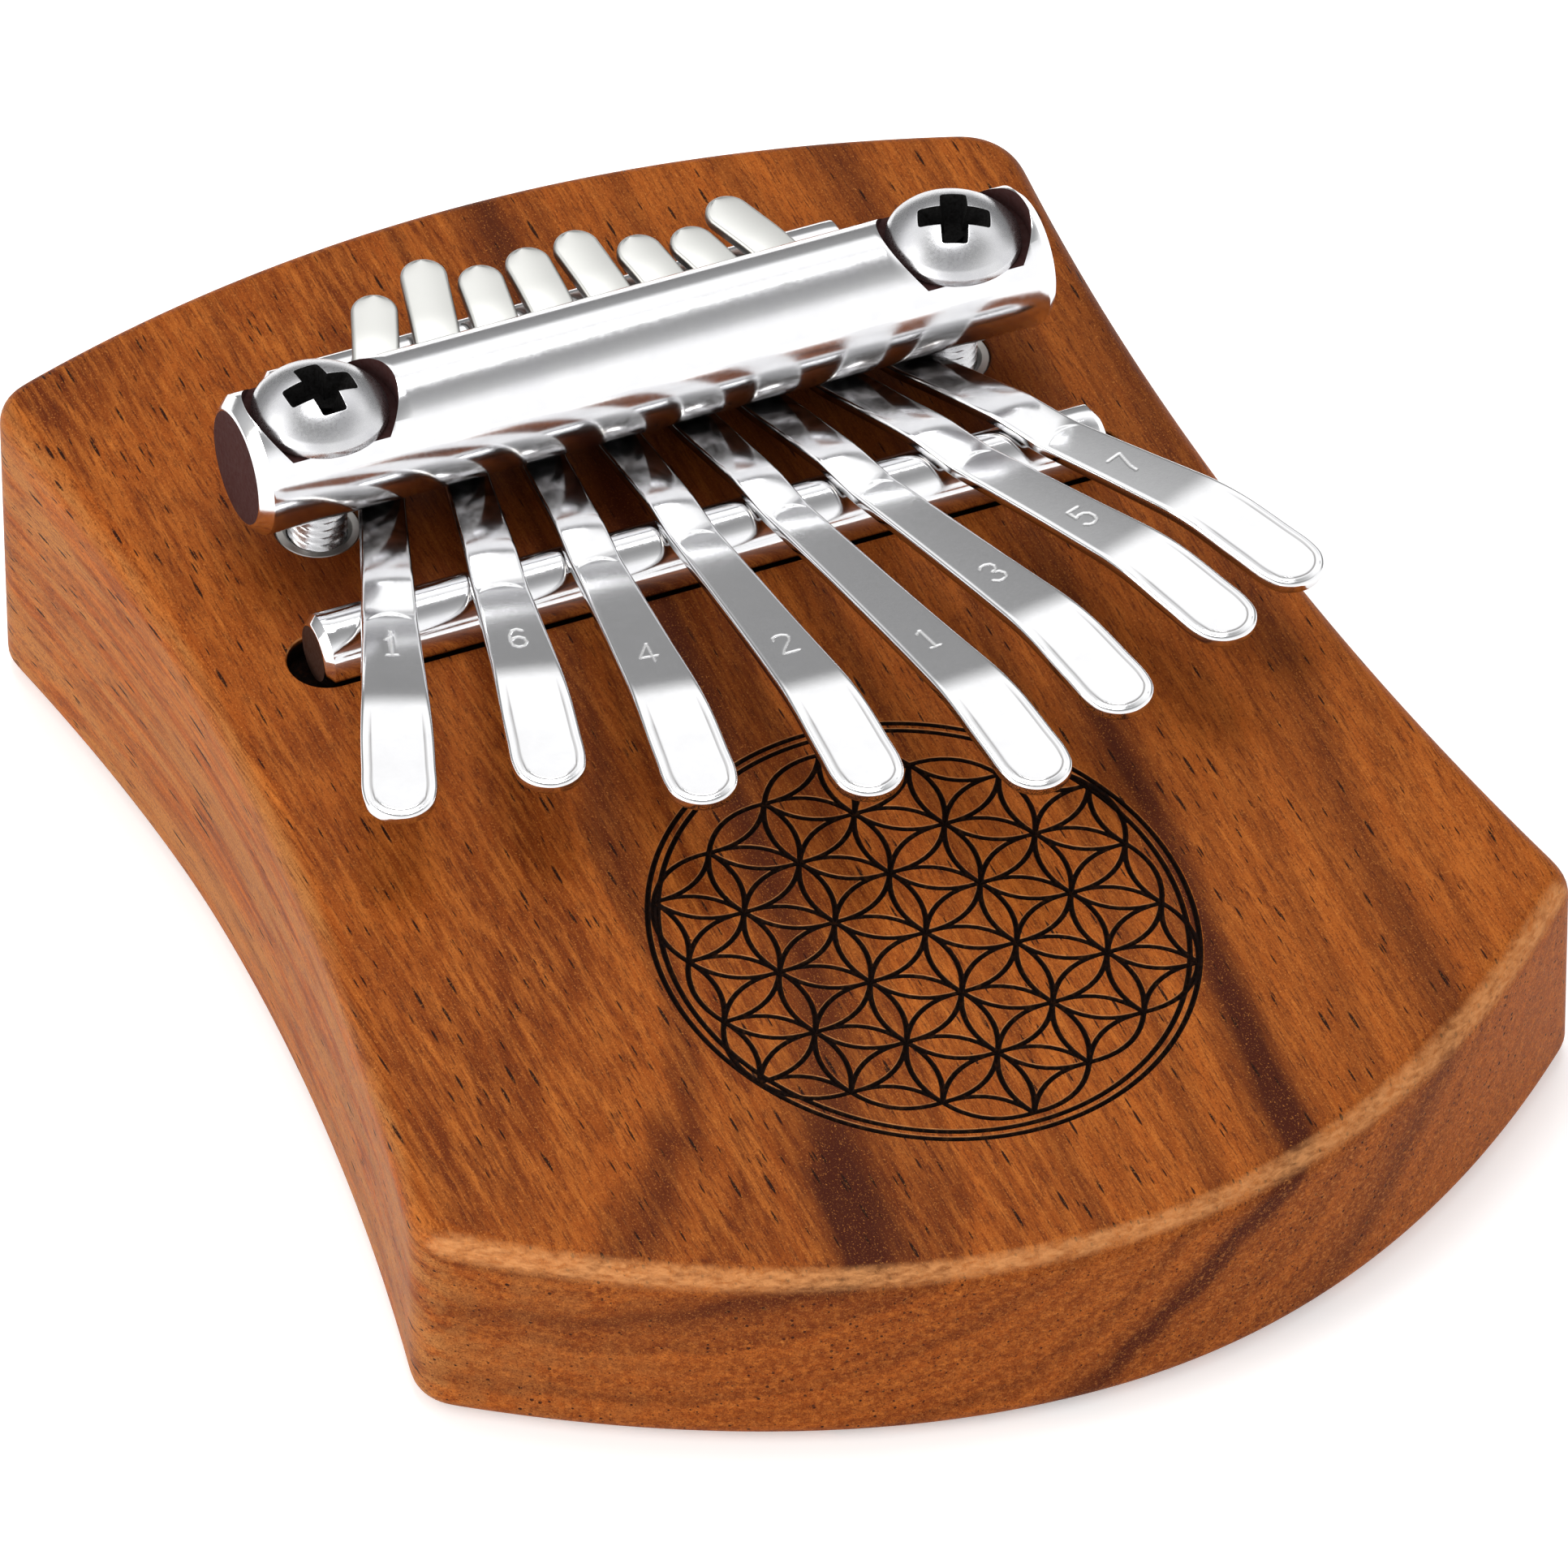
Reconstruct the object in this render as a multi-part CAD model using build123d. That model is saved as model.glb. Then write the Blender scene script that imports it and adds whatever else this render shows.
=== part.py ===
from build123d import *
import math
import os

"""Mbira: solid hardwood thumb piano with eight spring-steel tines.

Origin at the centre of the flat underside, +Z up, +X to the right, +Y towards
the clamped rear end; the player's thumbs are at the -Y end.  Millimetres.
The deck (the body's top) slopes down towards the front.  The hardware is laid
out in a deck frame: X across, Q up the slope from the rosette centre, H off it.
In paired tables the key -1 is the left side and 1 the right.
"""

os.makedirs("parts", exist_ok=True)

# Deck
DECK_ANGLE = 5.10
ROSETTE_Y = -29.52
ROSETTE_Z = 19.67

# Body outline, hand-shaped and not quite symmetric
FRONT_Y = -67.165                         # front edge: y = FRONT_Y + bow * x^2
FRONT_BOW = {-1: 0.0077, 1: 0.00945}
REAR_Y, REAR_TILT, REAR_BOW = 65.890, -0.0145, -0.003958  # rear: y = Y + tilt * x + bow * x^2
SIDE_COEFFS = (49.067, -0.17976, 0.0016500)  # half width, a quadratic in y from the rosette
FLARE = {-1: (0.0208, 20.0), 1: (-0.0055, 10.0)}  # extra width to the rear: gain, start y
FLARE_SOFTNESS = 40                       # smooths the start of the flare
EDGE_SPANS = 8                            # spline spans along each edge
CORNER_R = (3.6, 5.5, 4.2, 4.3)           # front right, rear right, rear left, front left
TOP_EDGE_R = 2.4
BOTTOM_EDGE_R = 1.6
BLANK_H = 40                              # block height before the deck is cut
DECK_CUTTER = (300, 400, 60)
DECK_CUTTER_Q = 30

# Bridge rods
ROD_R = 3.2
ROD_H = 1.1                               # rod axis above the deck
ROD_CHAMFER = 0.7
FRONT_ROD_Q = 47.4
REAR_ROD_Q = 75.9
RODS = {                                  # centre X, centre Q, half length
    "front": (0.6, FRONT_ROD_Q, 35.2),
    "rear": (-0.8, REAR_ROD_Q, 26.1),
}
SLOT_SIDE_GAP = 0.05                      # slot beyond the rod, each side
SLOT_END_GAP = 2.1                        # slot beyond the rod, each end
SLOT_CUT_H = 8
SEAT_GAP = 0.02                           # clearance under rods and screw heads

# Pressure bar
BAR_R = 6.0
BAR_HALF = 35.75
BAR_X, BAR_Q, BAR_H = 0.4, 62.4, 9.15
BAR_CHAMFER = 1.0
BAR_HOLE_R = 2.75
BAR_HOLE_CUT = 30
SCREW_X = 28.4                            # screws either side of the bar's middle
SEAT_ABOVE = 3.6                          # screw seat above the bar's axis
SEAT_CUT_H = 10

# Clamp screws
HEAD_R = 5.7
HEAD_SIDE = 0.9                           # height of the head's rim
HEAD_H = 3.1
HEAD_BEVEL = 0.25
HEAD_DRAFT = 0.08                         # rim's taper towards the dome
DOME_MID_R, DOME_MID_RISE = 0.60, 0.70    # point on the dome, as shares of radius and rise
SEAT_R = HEAD_R + 0.75
SHANK_R = 2.48
SHANK_LEN = 24.0
SHANK_OVERLAP = 0.2                       # shank's reach up into the head
SHANK_END_TAPER = 1.0
THREAD_TOP = 3.6                          # nominal height of the first thread above the deck
THREAD_DEPTH = 0.40
THREAD_PITCH = 0.8
THREAD_END = 1                            # thread stops at least this far from the shank's end
RECESS_SPAN = 7.2
RECESS_W = 2.3
RECESS_D = 2.5
RECESS_FLOOR = (0.45, 0.62)               # shares of span and width at the floor
RECESS_MOUTH = (1.06, 1.12)               # and at the mouth
RECESS_OVERCUT = 0.6                      # mouth above the head's crown
SCREW_TURN = {-1: 3.0, 1: -22.0}          # turn of each recess, degrees

# Threaded inserts
INSERT_R = 3.6
INSERT_BORE_R = 2.54
INSERT_LEN = 12.0
INSERT_TOP = -0.15                        # from the deck
INSERT_COLLAR = 1.0                       # plain length at the top
INSERT_PITCH = 1.6
INSERT_GROOVE = 0.45                      # groove depth
INSERT_GROOVE_DROPS = (0.5, 0.8, 1.3)     # groove floor's top and bottom, then its lower lip
INSERT_END = 0.6                          # grooves stop at least this far from the bottom
INSERT_END_TAPER = 0.5
BORE_CHAMFER = 0.35
INSERT_HOLE_R = INSERT_R + 0.03
INSERT_HOLE_DEPTH = 14.0
HOLE_OVERCUT = 1                          # insert hole cutter above the deck

# Tine side profile; t runs along the tine from the front rod's axis towards the tip
TINE_T = 1.15                             # thickness
ROD_CLEAR = 0.08                          # tine above the rods
BAR_CLEAR = 0.13                          # tine below the pressure bar
REST_SLOPE = 3.0                          # degrees up across the front rod
REST_T, KINK_T = -2.2, 2.6                # bends behind and in front of that rod's crest
PLATEAU_SLOPE = 11.5                      # degrees up, forward of the front rod
TIP_SLOPE = 3.0                           # degrees down
TIP_LEN = 12.0
REAR_LEAN = 8.0                           # rear bend's lean forward over the rear rod, degrees
REAR_LIFT = 0.20                          # lift of the rear bend's vertex
TAIL_SLOPE = 4.0                          # degrees up towards the tail's end
END_OVERRUN = 1.0                         # profile beyond the plan outline
VALLEY_BEND_R = 16.0
BEND_RADII = (22.0, VALLEY_BEND_R, 12.0, 12.0, 24.0)  # tail to tip
FLEX_T = 4.2                              # cut between shank and tongue
FLEX_GAP = 0.10
HALF_BOX = (200, 40, 60)                  # keeps one side of that cut
STRIP_W = 12                              # strip before it is trimmed to plan
PLAN_H = 20

# Tine plan
TINE_W = 3.95                             # width of the shaft
TIP_W = 6.1                               # width of the playing tip
TAPER = [                                 # distance from the tip's end, half width
    (42.0, 1.975), (34.0, 2.12), (27.0, 2.30), (21.0, 2.50),
    (16.0, 2.72), (12.0, 2.90), (8.5, 3.02), (5.8, 3.05),
]
NOSE = [(1, 1), (0.5, 0.866), (0.134, 0.5)]  # rounded end, the same in tip half widths
TINES = [                                 # tail's X and Q, tip's X and Q, left to right
    (-15.35, 80.95, -38.18, 20.48),
    (-10.15, 83.4, -25.17, 19.19),
    (-6.1, 81.2, -14.87, 11.43),
    (-1.85, 81.75, -2.04, 6.42),
    (2.5, 82.2, 10.7, 1.1),
    (7.09, 79.9, 21.34, 7.99),
    (11.38, 79.2, 33.53, 13.7),
    (15.4, 81.35, 41.95, 18.4),
]


def tan_deg(angle):
    return math.tan(math.radians(angle))


DECK = Plane(
    origin=(0, ROSETTE_Y, ROSETTE_Z),
    x_dir=(1, 0, 0),
    z_dir=(0, -math.sin(math.radians(DECK_ANGLE)), math.cos(math.radians(DECK_ANGLE))),
)


def on_deck(shape):
    return DECK.location * shape


# ---------------------------------------------------------------- body block
def side_x(y, side):
    """X of the left or right side at y."""
    from_rosette = y - ROSETTE_Y
    width, slope, curve = SIDE_COEFFS
    gain, start = FLARE[side]
    past = y - start
    flare = gain * (past + math.sqrt(past * past + FLARE_SOFTNESS))
    return side * (width + slope * from_rosette + curve * from_rosette * from_rosette + flare)


def front_y(x):
    return FRONT_Y + FRONT_BOW[1 if x > 0 else -1] * x * x


def rear_y(x):
    return REAR_Y + REAR_TILT * x + REAR_BOW * x * x


def corner(edge_y, side):
    """Where a side meets the front or rear edge, by damped iteration."""
    x = 45.0 * side
    for _ in range(80):
        x = 0.5 * x + 0.5 * side_x(edge_y(x), side)
    return x, edge_y(x)


def cross_edge(start, end, edge_y):
    """Spline along the front or rear edge."""
    xs = [start[0] + (end[0] - start[0]) * i / EDGE_SPANS for i in range(1, EDGE_SPANS)]
    points = [start] + [(x, edge_y(x)) for x in xs] + [end]
    return Spline(*[Vector(*point) for point in points])


def side_edge(start, end, side):
    """Spline along the left or right side."""
    ys = [start[1] + (end[1] - start[1]) * i / EDGE_SPANS for i in range(1, EDGE_SPANS)]
    points = [start] + [(side_x(y, side), y) for y in ys] + [end]
    return Spline(*[Vector(*point) for point in points])


def body_outline():
    front_right, front_left = corner(front_y, 1), corner(front_y, -1)
    rear_right, rear_left = corner(rear_y, 1), corner(rear_y, -1)
    face = Face(Wire([
        cross_edge(front_left, front_right, front_y),
        side_edge(front_right, rear_right, 1),
        cross_edge(rear_right, rear_left, rear_y),
        side_edge(rear_left, front_left, -1),
    ]))
    for point, radius in zip((front_right, rear_right, rear_left, front_left), CORNER_R):
        vertex = face.vertices().sort_by_distance(Vector(*point))[0]
        face = fillet(vertex, radius)
    return face


def body_block():
    block = extrude(body_outline(), amount=BLANK_H)
    block -= on_deck(Pos(0, DECK_CUTTER_Q, DECK_CUTTER[2] / 2) * Box(*DECK_CUTTER))
    top = block.faces().sort_by(Axis.Z)[-1]
    block = fillet(top.edges(), TOP_EDGE_R)
    bottom = block.faces().sort_by(Axis.Z)[0]
    block = fillet(bottom.edges(), BOTTOM_EDGE_R)
    floor = ROD_H - ROD_R - SEAT_GAP
    for x, q, half in RODS.values():
        slot = SlotOverall(2 * (half + SLOT_END_GAP), 2 * (ROD_R + SLOT_SIDE_GAP))
        block -= on_deck(Pos(x, q, floor) * extrude(slot, amount=SLOT_CUT_H))
    for side in (-1, 1):
        hole = Cylinder(INSERT_HOLE_R, INSERT_HOLE_DEPTH + HOLE_OVERCUT,
                        align=(Align.CENTER, Align.CENTER, Align.MAX))
        block -= on_deck(Pos(BAR_X + side * SCREW_X, BAR_Q, HOLE_OVERCUT) * hole)
    return block


# ---------------------------------------------------------------- round stock
def round_bar(radius, half, bevel):
    """Cylinder along X with chamfered ends."""
    bar = Cylinder(radius, 2 * half)
    bar = chamfer(bar.edges().filter_by(GeomType.CIRCLE), bevel)
    return Rot(0, 90, 0) * bar


def bridge_rod(x, q, half):
    return on_deck(Pos(x, q, ROD_H) * round_bar(ROD_R, half, ROD_CHAMFER))


def pressure_bar():
    bar = round_bar(BAR_R, BAR_HALF, BAR_CHAMFER)
    for side in (-1, 1):
        seat = Cylinder(SEAT_R, SEAT_CUT_H, align=(Align.CENTER, Align.CENTER, Align.MIN))
        bar -= Pos(side * SCREW_X, 0, SEAT_ABOVE) * seat
        bar -= Pos(side * SCREW_X, 0, 0) * Cylinder(BAR_HOLE_R, BAR_HOLE_CUT)
    return on_deck(Pos(BAR_X, BAR_Q, BAR_H) * bar)


# ---------------------------------------------------------------- fasteners
def turned(points, arc=None):
    """Revolve (radius, height) points about Z; arc is a further arc's middle and end."""
    with BuildPart() as part:
        with BuildSketch(Plane.XZ):
            with BuildLine():
                Polyline(*points)
                if arc:
                    ThreePointArc(points[-1], *arc)
                Line(arc[-1] if arc else points[-1], points[0])
            make_face()
        revolve(axis=Axis.Z)
    return part.part


def cross_recess():
    """Two crossed arms, each narrowing downwards."""
    def section(height, shares):
        return Pos(0, 0, height) * Rectangle(RECESS_SPAN * shares[0], RECESS_W * shares[1])

    arms = [
        Rot(0, 0, angle) * loft([
            section(HEAD_H - RECESS_D, RECESS_FLOOR),
            section(HEAD_H + RECESS_OVERCUT, RECESS_MOUTH),
        ])
        for angle in (0, 90)
    ]
    return arms[0] + arms[1]


def screw_head(turn):
    """Raised pan head with its seat at z = 0."""
    rim = [(0, 0), (HEAD_R - HEAD_BEVEL, 0), (HEAD_R, HEAD_BEVEL),
           (HEAD_R - HEAD_DRAFT, HEAD_SIDE)]
    dome_mid = (HEAD_R * DOME_MID_R, HEAD_SIDE + (HEAD_H - HEAD_SIDE) * DOME_MID_RISE)
    head = turned(rim, arc=(dome_mid, (0, HEAD_H)))
    return head - Rot(0, 0, turn) * cross_recess()


def screw_shank():
    """Plain neck, then ring-shaped threads."""
    z = THREAD_TOP - BAR_H - SEAT_ABOVE
    points = [(0, SHANK_OVERLAP), (SHANK_R, SHANK_OVERLAP), (SHANK_R, z)]
    while z - THREAD_PITCH > -SHANK_LEN + THREAD_END:
        points += [(SHANK_R - THREAD_DEPTH, z - THREAD_PITCH / 2), (SHANK_R, z - THREAD_PITCH)]
        z -= THREAD_PITCH
    points += [(SHANK_R - SHANK_END_TAPER, -SHANK_LEN), (0, -SHANK_LEN)]
    return turned(points)


def clamp_screw(side):
    screw = screw_head(SCREW_TURN[side]) + screw_shank()
    return on_deck(Pos(BAR_X + side * SCREW_X, BAR_Q, BAR_H + SEAT_ABOVE + SEAT_GAP) * screw)


def threaded_insert(side):
    """Sleeve with ring grooves outside."""
    z = -INSERT_COLLAR
    root = INSERT_R - INSERT_GROOVE
    floor_top, floor_bottom, lip = INSERT_GROOVE_DROPS
    points = [(INSERT_BORE_R + BORE_CHAMFER, 0), (INSERT_R, 0), (INSERT_R, z)]
    while z - INSERT_PITCH > -INSERT_LEN + INSERT_END:
        points += [(root, z - floor_top), (root, z - floor_bottom),
                   (INSERT_R, z - lip), (INSERT_R, z - INSERT_PITCH)]
        z -= INSERT_PITCH
    points += [(INSERT_R - INSERT_END_TAPER, -INSERT_LEN), (INSERT_BORE_R, -INSERT_LEN),
               (INSERT_BORE_R, -BORE_CHAMFER)]
    return on_deck(Pos(BAR_X + side * SCREW_X, BAR_Q, INSERT_TOP) * turned(points))


# ---------------------------------------------------------------- tines
def tine_frame(tail_x, tail_q, tip_x, tip_q):
    """Tine's plane (origin on the deck at the front rod, x towards the tip, z off
    the deck), the cosine of its splay, and t at the tail and tip."""
    slope = (tip_x - tail_x) / (tip_q - tail_q)
    cosine = 1 / math.sqrt(1 + slope * slope)
    plane = Plane(
        origin=(tail_x + slope * (FRONT_ROD_Q - tail_q), FRONT_ROD_Q, 0),
        x_dir=(-slope * cosine, -cosine, 0),
        z_dir=(0, 0, 1),
    )
    return plane, cosine, (FRONT_ROD_Q - tail_q) / cosine, (FRONT_ROD_Q - tip_q) / cosine


def middle_vertices(cosine, tail_t, tip_t):
    """Vertices (t, height) of the strip's mid surface, tail to tip."""
    reach = ROD_R + ROD_CLEAR + TINE_T / 2              # rod axis to mid surface
    rest_h = ROD_H + reach / math.cos(math.radians(REST_SLOPE))
    rest = Vector(REST_T, rest_h + tan_deg(REST_SLOPE) * REST_T)
    kink = Vector(KINK_T, rest_h + tan_deg(REST_SLOPE) * KINK_T)

    lean = math.radians(REAR_LEAN)
    rear = Vector((FRONT_ROD_Q - REAR_ROD_Q) / cosine + reach * math.sin(lean),
                  ROD_H + reach * math.cos(lean) + REAR_LIFT)
    tail_end_t = tail_t - END_OVERRUN
    tail = Vector(tail_end_t, rear.Y + tan_deg(TAIL_SLOPE) * (rear.X - tail_end_t))

    # The bend lifts the strip off its vertex under the bar, so lower the vertex to suit.
    bar_t = (FRONT_ROD_Q - BAR_Q) / cosine
    valley_h = BAR_H - BAR_R - BAR_CLEAR - TINE_T / 2
    vertex_h = valley_h
    for _ in range(30):
        front_rise = math.atan2(rest.Y - vertex_h, rest.X - bar_t)
        rear_rise = math.atan2(rear.Y - vertex_h, bar_t - rear.X)
        lift = VALLEY_BEND_R * (1 / math.cos((front_rise + rear_rise) / 2) - 1)
        vertex_h = valley_h - lift
    valley = Vector(bar_t, vertex_h)

    plateau_t = tip_t - TIP_LEN
    plateau = Vector(plateau_t, kink.Y + tan_deg(PLATEAU_SLOPE) * (plateau_t - KINK_T))
    tip = Vector(tip_t + END_OVERRUN, plateau.Y - (TIP_LEN + END_OVERRUN) * tan_deg(TIP_SLOPE))
    return [tail, rear, valley, rest, kink, plateau, tip]


def left_of(direction):
    return Vector(-direction.Y, direction.X)


def offset_edges(vertices, offset):
    """Lines and bend arcs of the vertex chain, moved to its left by offset."""
    directions = [(end - start).normalized() for start, end in zip(vertices, vertices[1:])]
    last = vertices[0] + left_of(directions[0]) * offset
    edges = []
    for vertex, radius, before, after in zip(
            vertices[1:-1], BEND_RADII, directions, directions[1:]):
        turn = math.asin(before.cross(after).Z)         # positive bends upwards
        sign = 1 if turn > 0 else -1
        setback = radius * math.tan(abs(turn) / 2)
        centre = vertex - before * setback + left_of(before) * (radius * sign)
        spoke = (radius - sign * offset) * sign
        start, middle, end = [
            centre - left_of(direction) * spoke
            for direction in (before, (before + after).normalized(), after)
        ]
        edges += [Line(last, start), ThreePointArc(start, middle, end)]
        last = end
    edges.append(Line(last, vertices[-1] + left_of(directions[-1]) * offset))
    return edges


def tine_strip(vertices):
    """Bent strip of constant thickness, wider than the tine."""
    lower = offset_edges(vertices, -TINE_T / 2)
    upper = offset_edges(vertices, TINE_T / 2)
    tail_end = Line(lower[0] @ 0, upper[0] @ 0)
    tip_end = Line(lower[-1] @ 1, upper[-1] @ 1)
    profile = Face(Wire(lower + [tip_end] + upper + [tail_end]))
    return extrude(Plane.XZ.offset(-STRIP_W / 2) * profile, amount=STRIP_W)


def tine_outline(tail_t, tip_t):
    """Plan outline: round tail, parallel shaft, widened and rounded tip."""
    half, tip_half = TINE_W / 2, TIP_W / 2
    side = [(tip_t - back, y) for back, y in TAPER]
    side += [(tip_t - tip_half * back, tip_half * y) for back, y in NOSE]
    points = [(x, -y) for x, y in side] + [(tip_t, 0)] + side[::-1]
    tip = Spline(*[Vector(*point) for point in points], tangents=[(1, 0), (-1, 0)])
    right, left = (tail_t + half, half), (tail_t + half, -half)
    tail = ThreePointArc(right, (tail_t, 0), left)
    return Face(Wire([Line(left, points[0]), tip, Line(points[-1], right), tail]))


def tine(spec):
    """Shank and tongue, parted square to the plateau at the flex cut."""
    plane, cosine, tail_t, tip_t = tine_frame(*spec)
    vertices = middle_vertices(cosine, tail_t, tip_t)
    whole = tine_strip(vertices) & extrude(tine_outline(tail_t, tip_t), amount=PLAN_H)
    kink = vertices[4]
    cut_h = kink.Y + tan_deg(PLATEAU_SLOPE) * (FLEX_T - KINK_T)
    cut = Pos(FLEX_T, 0, cut_h) * Rot(0, -PLATEAU_SLOPE, 0)
    shift = (FLEX_GAP + HALF_BOX[0]) / 2
    shank, tongue = [
        whole & (cut * (Pos(end * shift, 0, 0) * Box(*HALF_BOX)))
        for end in (-1, 1)
    ]
    return on_deck(plane.location * shank), on_deck(plane.location * tongue)


# ---------------------------------------------------------------- write
def save(shape, name):
    solids = shape.solids()
    out = solids[0] if len(solids) == 1 else Compound(children=list(solids))
    export_step(out, f"parts/{name}.step")


save(body_block(), "body_block")
for place, placing in RODS.items():
    save(bridge_rod(*placing), f"{place}_bridge_rod")
save(pressure_bar(), "pressure_bar")
for side, hand in ((-1, "left"), (1, "right")):
    save(clamp_screw(side), f"{hand}_clamp_screw")
    save(threaded_insert(side), f"{hand}_threaded_insert")
for number, spec in enumerate(TINES, 1):
    shank, tongue = tine(spec)
    save(shank, f"tine_{number}_shank")
    save(tongue, f"tine_{number}_tongue")
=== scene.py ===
import bpy, bmesh, math
import numpy as np
from mathutils import Vector, Matrix
from mathutils.geometry import delaunay_2d_cdt


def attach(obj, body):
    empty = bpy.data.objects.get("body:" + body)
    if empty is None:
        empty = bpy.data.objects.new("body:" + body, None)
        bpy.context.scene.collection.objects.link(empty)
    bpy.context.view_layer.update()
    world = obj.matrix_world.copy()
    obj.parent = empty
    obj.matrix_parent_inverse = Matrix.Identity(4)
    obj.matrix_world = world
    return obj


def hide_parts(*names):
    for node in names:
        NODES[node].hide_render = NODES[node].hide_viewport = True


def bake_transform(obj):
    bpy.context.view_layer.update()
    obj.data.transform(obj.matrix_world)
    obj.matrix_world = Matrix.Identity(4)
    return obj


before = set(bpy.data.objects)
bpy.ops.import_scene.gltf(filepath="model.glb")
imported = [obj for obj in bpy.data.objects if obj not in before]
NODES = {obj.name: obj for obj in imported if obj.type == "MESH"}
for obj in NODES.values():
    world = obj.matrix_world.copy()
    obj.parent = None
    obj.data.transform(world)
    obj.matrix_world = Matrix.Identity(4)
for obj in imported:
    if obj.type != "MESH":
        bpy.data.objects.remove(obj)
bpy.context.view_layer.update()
MM = 0.001

# ------------------------------------------------------------- dimensions (mm)
W = math.radians(5.10)
CW, SW = math.cos(W), math.sin(W)
ROS_Y, DECK_Z0 = -29.52, 19.67
ROD_R, ROD_H = 3.2, 1.1
FROD_X, FROD_Q, FROD_HALF = 0.6, 47.4, 35.2
RROD_X, RROD_Q, RROD_HALF = -0.8, 75.9, 26.1
ROD_CH = 0.7
SLOT_W = 3.25
FSLOT_HALF, RSLOT_HALF = 37.3, 28.2
SLOT_FLOOR = -2.12
BAR_R, BAR_X, BAR_Q, BAR_H, BAR_HALF = 6.0, 0.4, 62.4, 9.15, 35.75
SCREW_X, SEAT_ABOVE, SEAT_R, BAR_HOLE_R = 28.4, 3.6, 6.45, 2.75
HEAD_R, HEAD_SIDE, HEAD_H = 5.7, 0.9, 3.1
SHANK_R, THREAD_D, PITCH, SHANK_LEN = 2.48, 0.40, 0.8, 24.0
RECESS_SPAN, RECESS_W, RECESS_D = 7.2, 2.3, 2.5
TURNS = {-1: 3.0, 1: -22.0}
INS_R, INS_BORE, INS_LEN, INS_TOP, INS_HOLE = 3.6, 2.54, 12.0, -0.15, 3.63
TINE_T, TINE_W, TIP_W = 1.15, 3.95, 6.1
ROD_CLEAR, BAR_CLEAR = 0.08, 0.18
FLEX_T, PLATEAU, TIP_SLOPE, TIP_LEN = 4.2, math.radians(11.5), math.radians(3), 12.0
REST_SLOPE, TAIL_SLOPE, REST_T, KINK_T = math.radians(3), math.radians(4), -2.2, 2.6
TINES = [(-15.35, 80.95, -38.18, 20.48), (-10.15, 83.4, -25.17, 19.19), (-6.1, 81.2, -14.87, 11.43), (-1.85, 81.75, -2.04, 6.42),
         (2.5, 82.2, 10.7, 1.1), (7.09, 79.9, 21.34, 7.99), (11.38, 79.2, 33.53, 13.7), (15.4, 81.35, 41.95, 18.4)]
TAPER = [(42.0, 1.975), (34.0, 2.12), (27.0, 2.30), (21.0, 2.50), (16.0, 2.72), (12.0, 2.90), (8.5, 3.02), (5.8, 3.05)]
DIGITS = ["1.", "6", "4", "2", "1", "3", "5", "7"]


def deck(p):
    """Deck coordinates (X, Q, H) in mm to the row frame in metres. p is (n, 3)."""
    p = np.asarray(p, float)
    x, q, h = p[:, 0], p[:, 1], p[:, 2]
    return np.stack([x, ROS_Y + q * CW - h * SW, DECK_Z0 + q * SW + h * CW], 1) * MM


def make(name, verts, faces, material, smooth=None, sharp=35.0):
    me = bpy.data.meshes.new(name)
    me.from_pydata([tuple(map(float, v)) for v in verts], [], [tuple(int(i) for i in f) for f in faces])
    me.validate()
    me.update()
    o = bpy.data.objects.new(name, me)
    bpy.context.scene.collection.objects.link(o)
    me.materials.append(material)
    fix = bmesh.new()
    fix.from_mesh(me)
    bmesh.ops.recalc_face_normals(fix, faces=fix.faces)
    fix.to_mesh(me)
    fix.free()
    for p in me.polygons:
        p.use_smooth = True
    me.set_sharp_from_angle(angle=math.radians(sharp))
    return o


# ------------------------------------------------------------- materials
def mat(name):
    m = bpy.data.materials.new(name)
    m.use_nodes = True
    nt = m.node_tree
    nt.nodes.clear()
    out = nt.nodes.new("ShaderNodeOutputMaterial")
    bs = nt.nodes.new("ShaderNodeBsdfPrincipled")
    nt.links.new(bs.outputs[0], out.inputs[0])
    return m, nt, bs


def node(nt, kind, **kw):
    n = nt.nodes.new(kind)
    for k, v in kw.items():
        if k == "inputs":
            for a, b in v.items():
                if hasattr(b, "is_output") or isinstance(b, bpy.types.NodeSocket):
                    nt.links.new(b, n.inputs[a])
                else:
                    n.inputs[a].default_value = b
        else:
            setattr(n, k, v)
    return n


def math_(nt, op, a, b=None, c=None, clamp=False):
    n = nt.nodes.new("ShaderNodeMath")
    n.operation = op
    n.use_clamp = clamp
    for i, v in enumerate((a, b, c)):
        if v is None:
            continue
        if isinstance(v, bpy.types.NodeSocket):
            nt.links.new(v, n.inputs[i])
        else:
            n.inputs[i].default_value = v
    return n.outputs[0]


def remap(nt, v, a, b, c=0.0, d=1.0, smooth=False):
    n = nt.nodes.new("ShaderNodeMapRange")
    n.interpolation_type = "SMOOTHSTEP" if smooth else "LINEAR"
    n.clamp = True
    nt.links.new(v, n.inputs[0])
    for i, x in enumerate((a, b, c, d)):
        n.inputs[i + 1].default_value = x
    return n.outputs[0]


def mix(nt, f, a, b, blend="MIX"):
    n = nt.nodes.new("ShaderNodeMix")
    n.data_type = "RGBA"
    n.blend_type = blend
    for i, v in ((0, f), (6, a), (7, b)):
        if isinstance(v, bpy.types.NodeSocket):
            nt.links.new(v, n.inputs[i])
        else:
            n.inputs[i].default_value = v if i == 0 else (*v, 1.0)
    return n.outputs[2]


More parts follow.
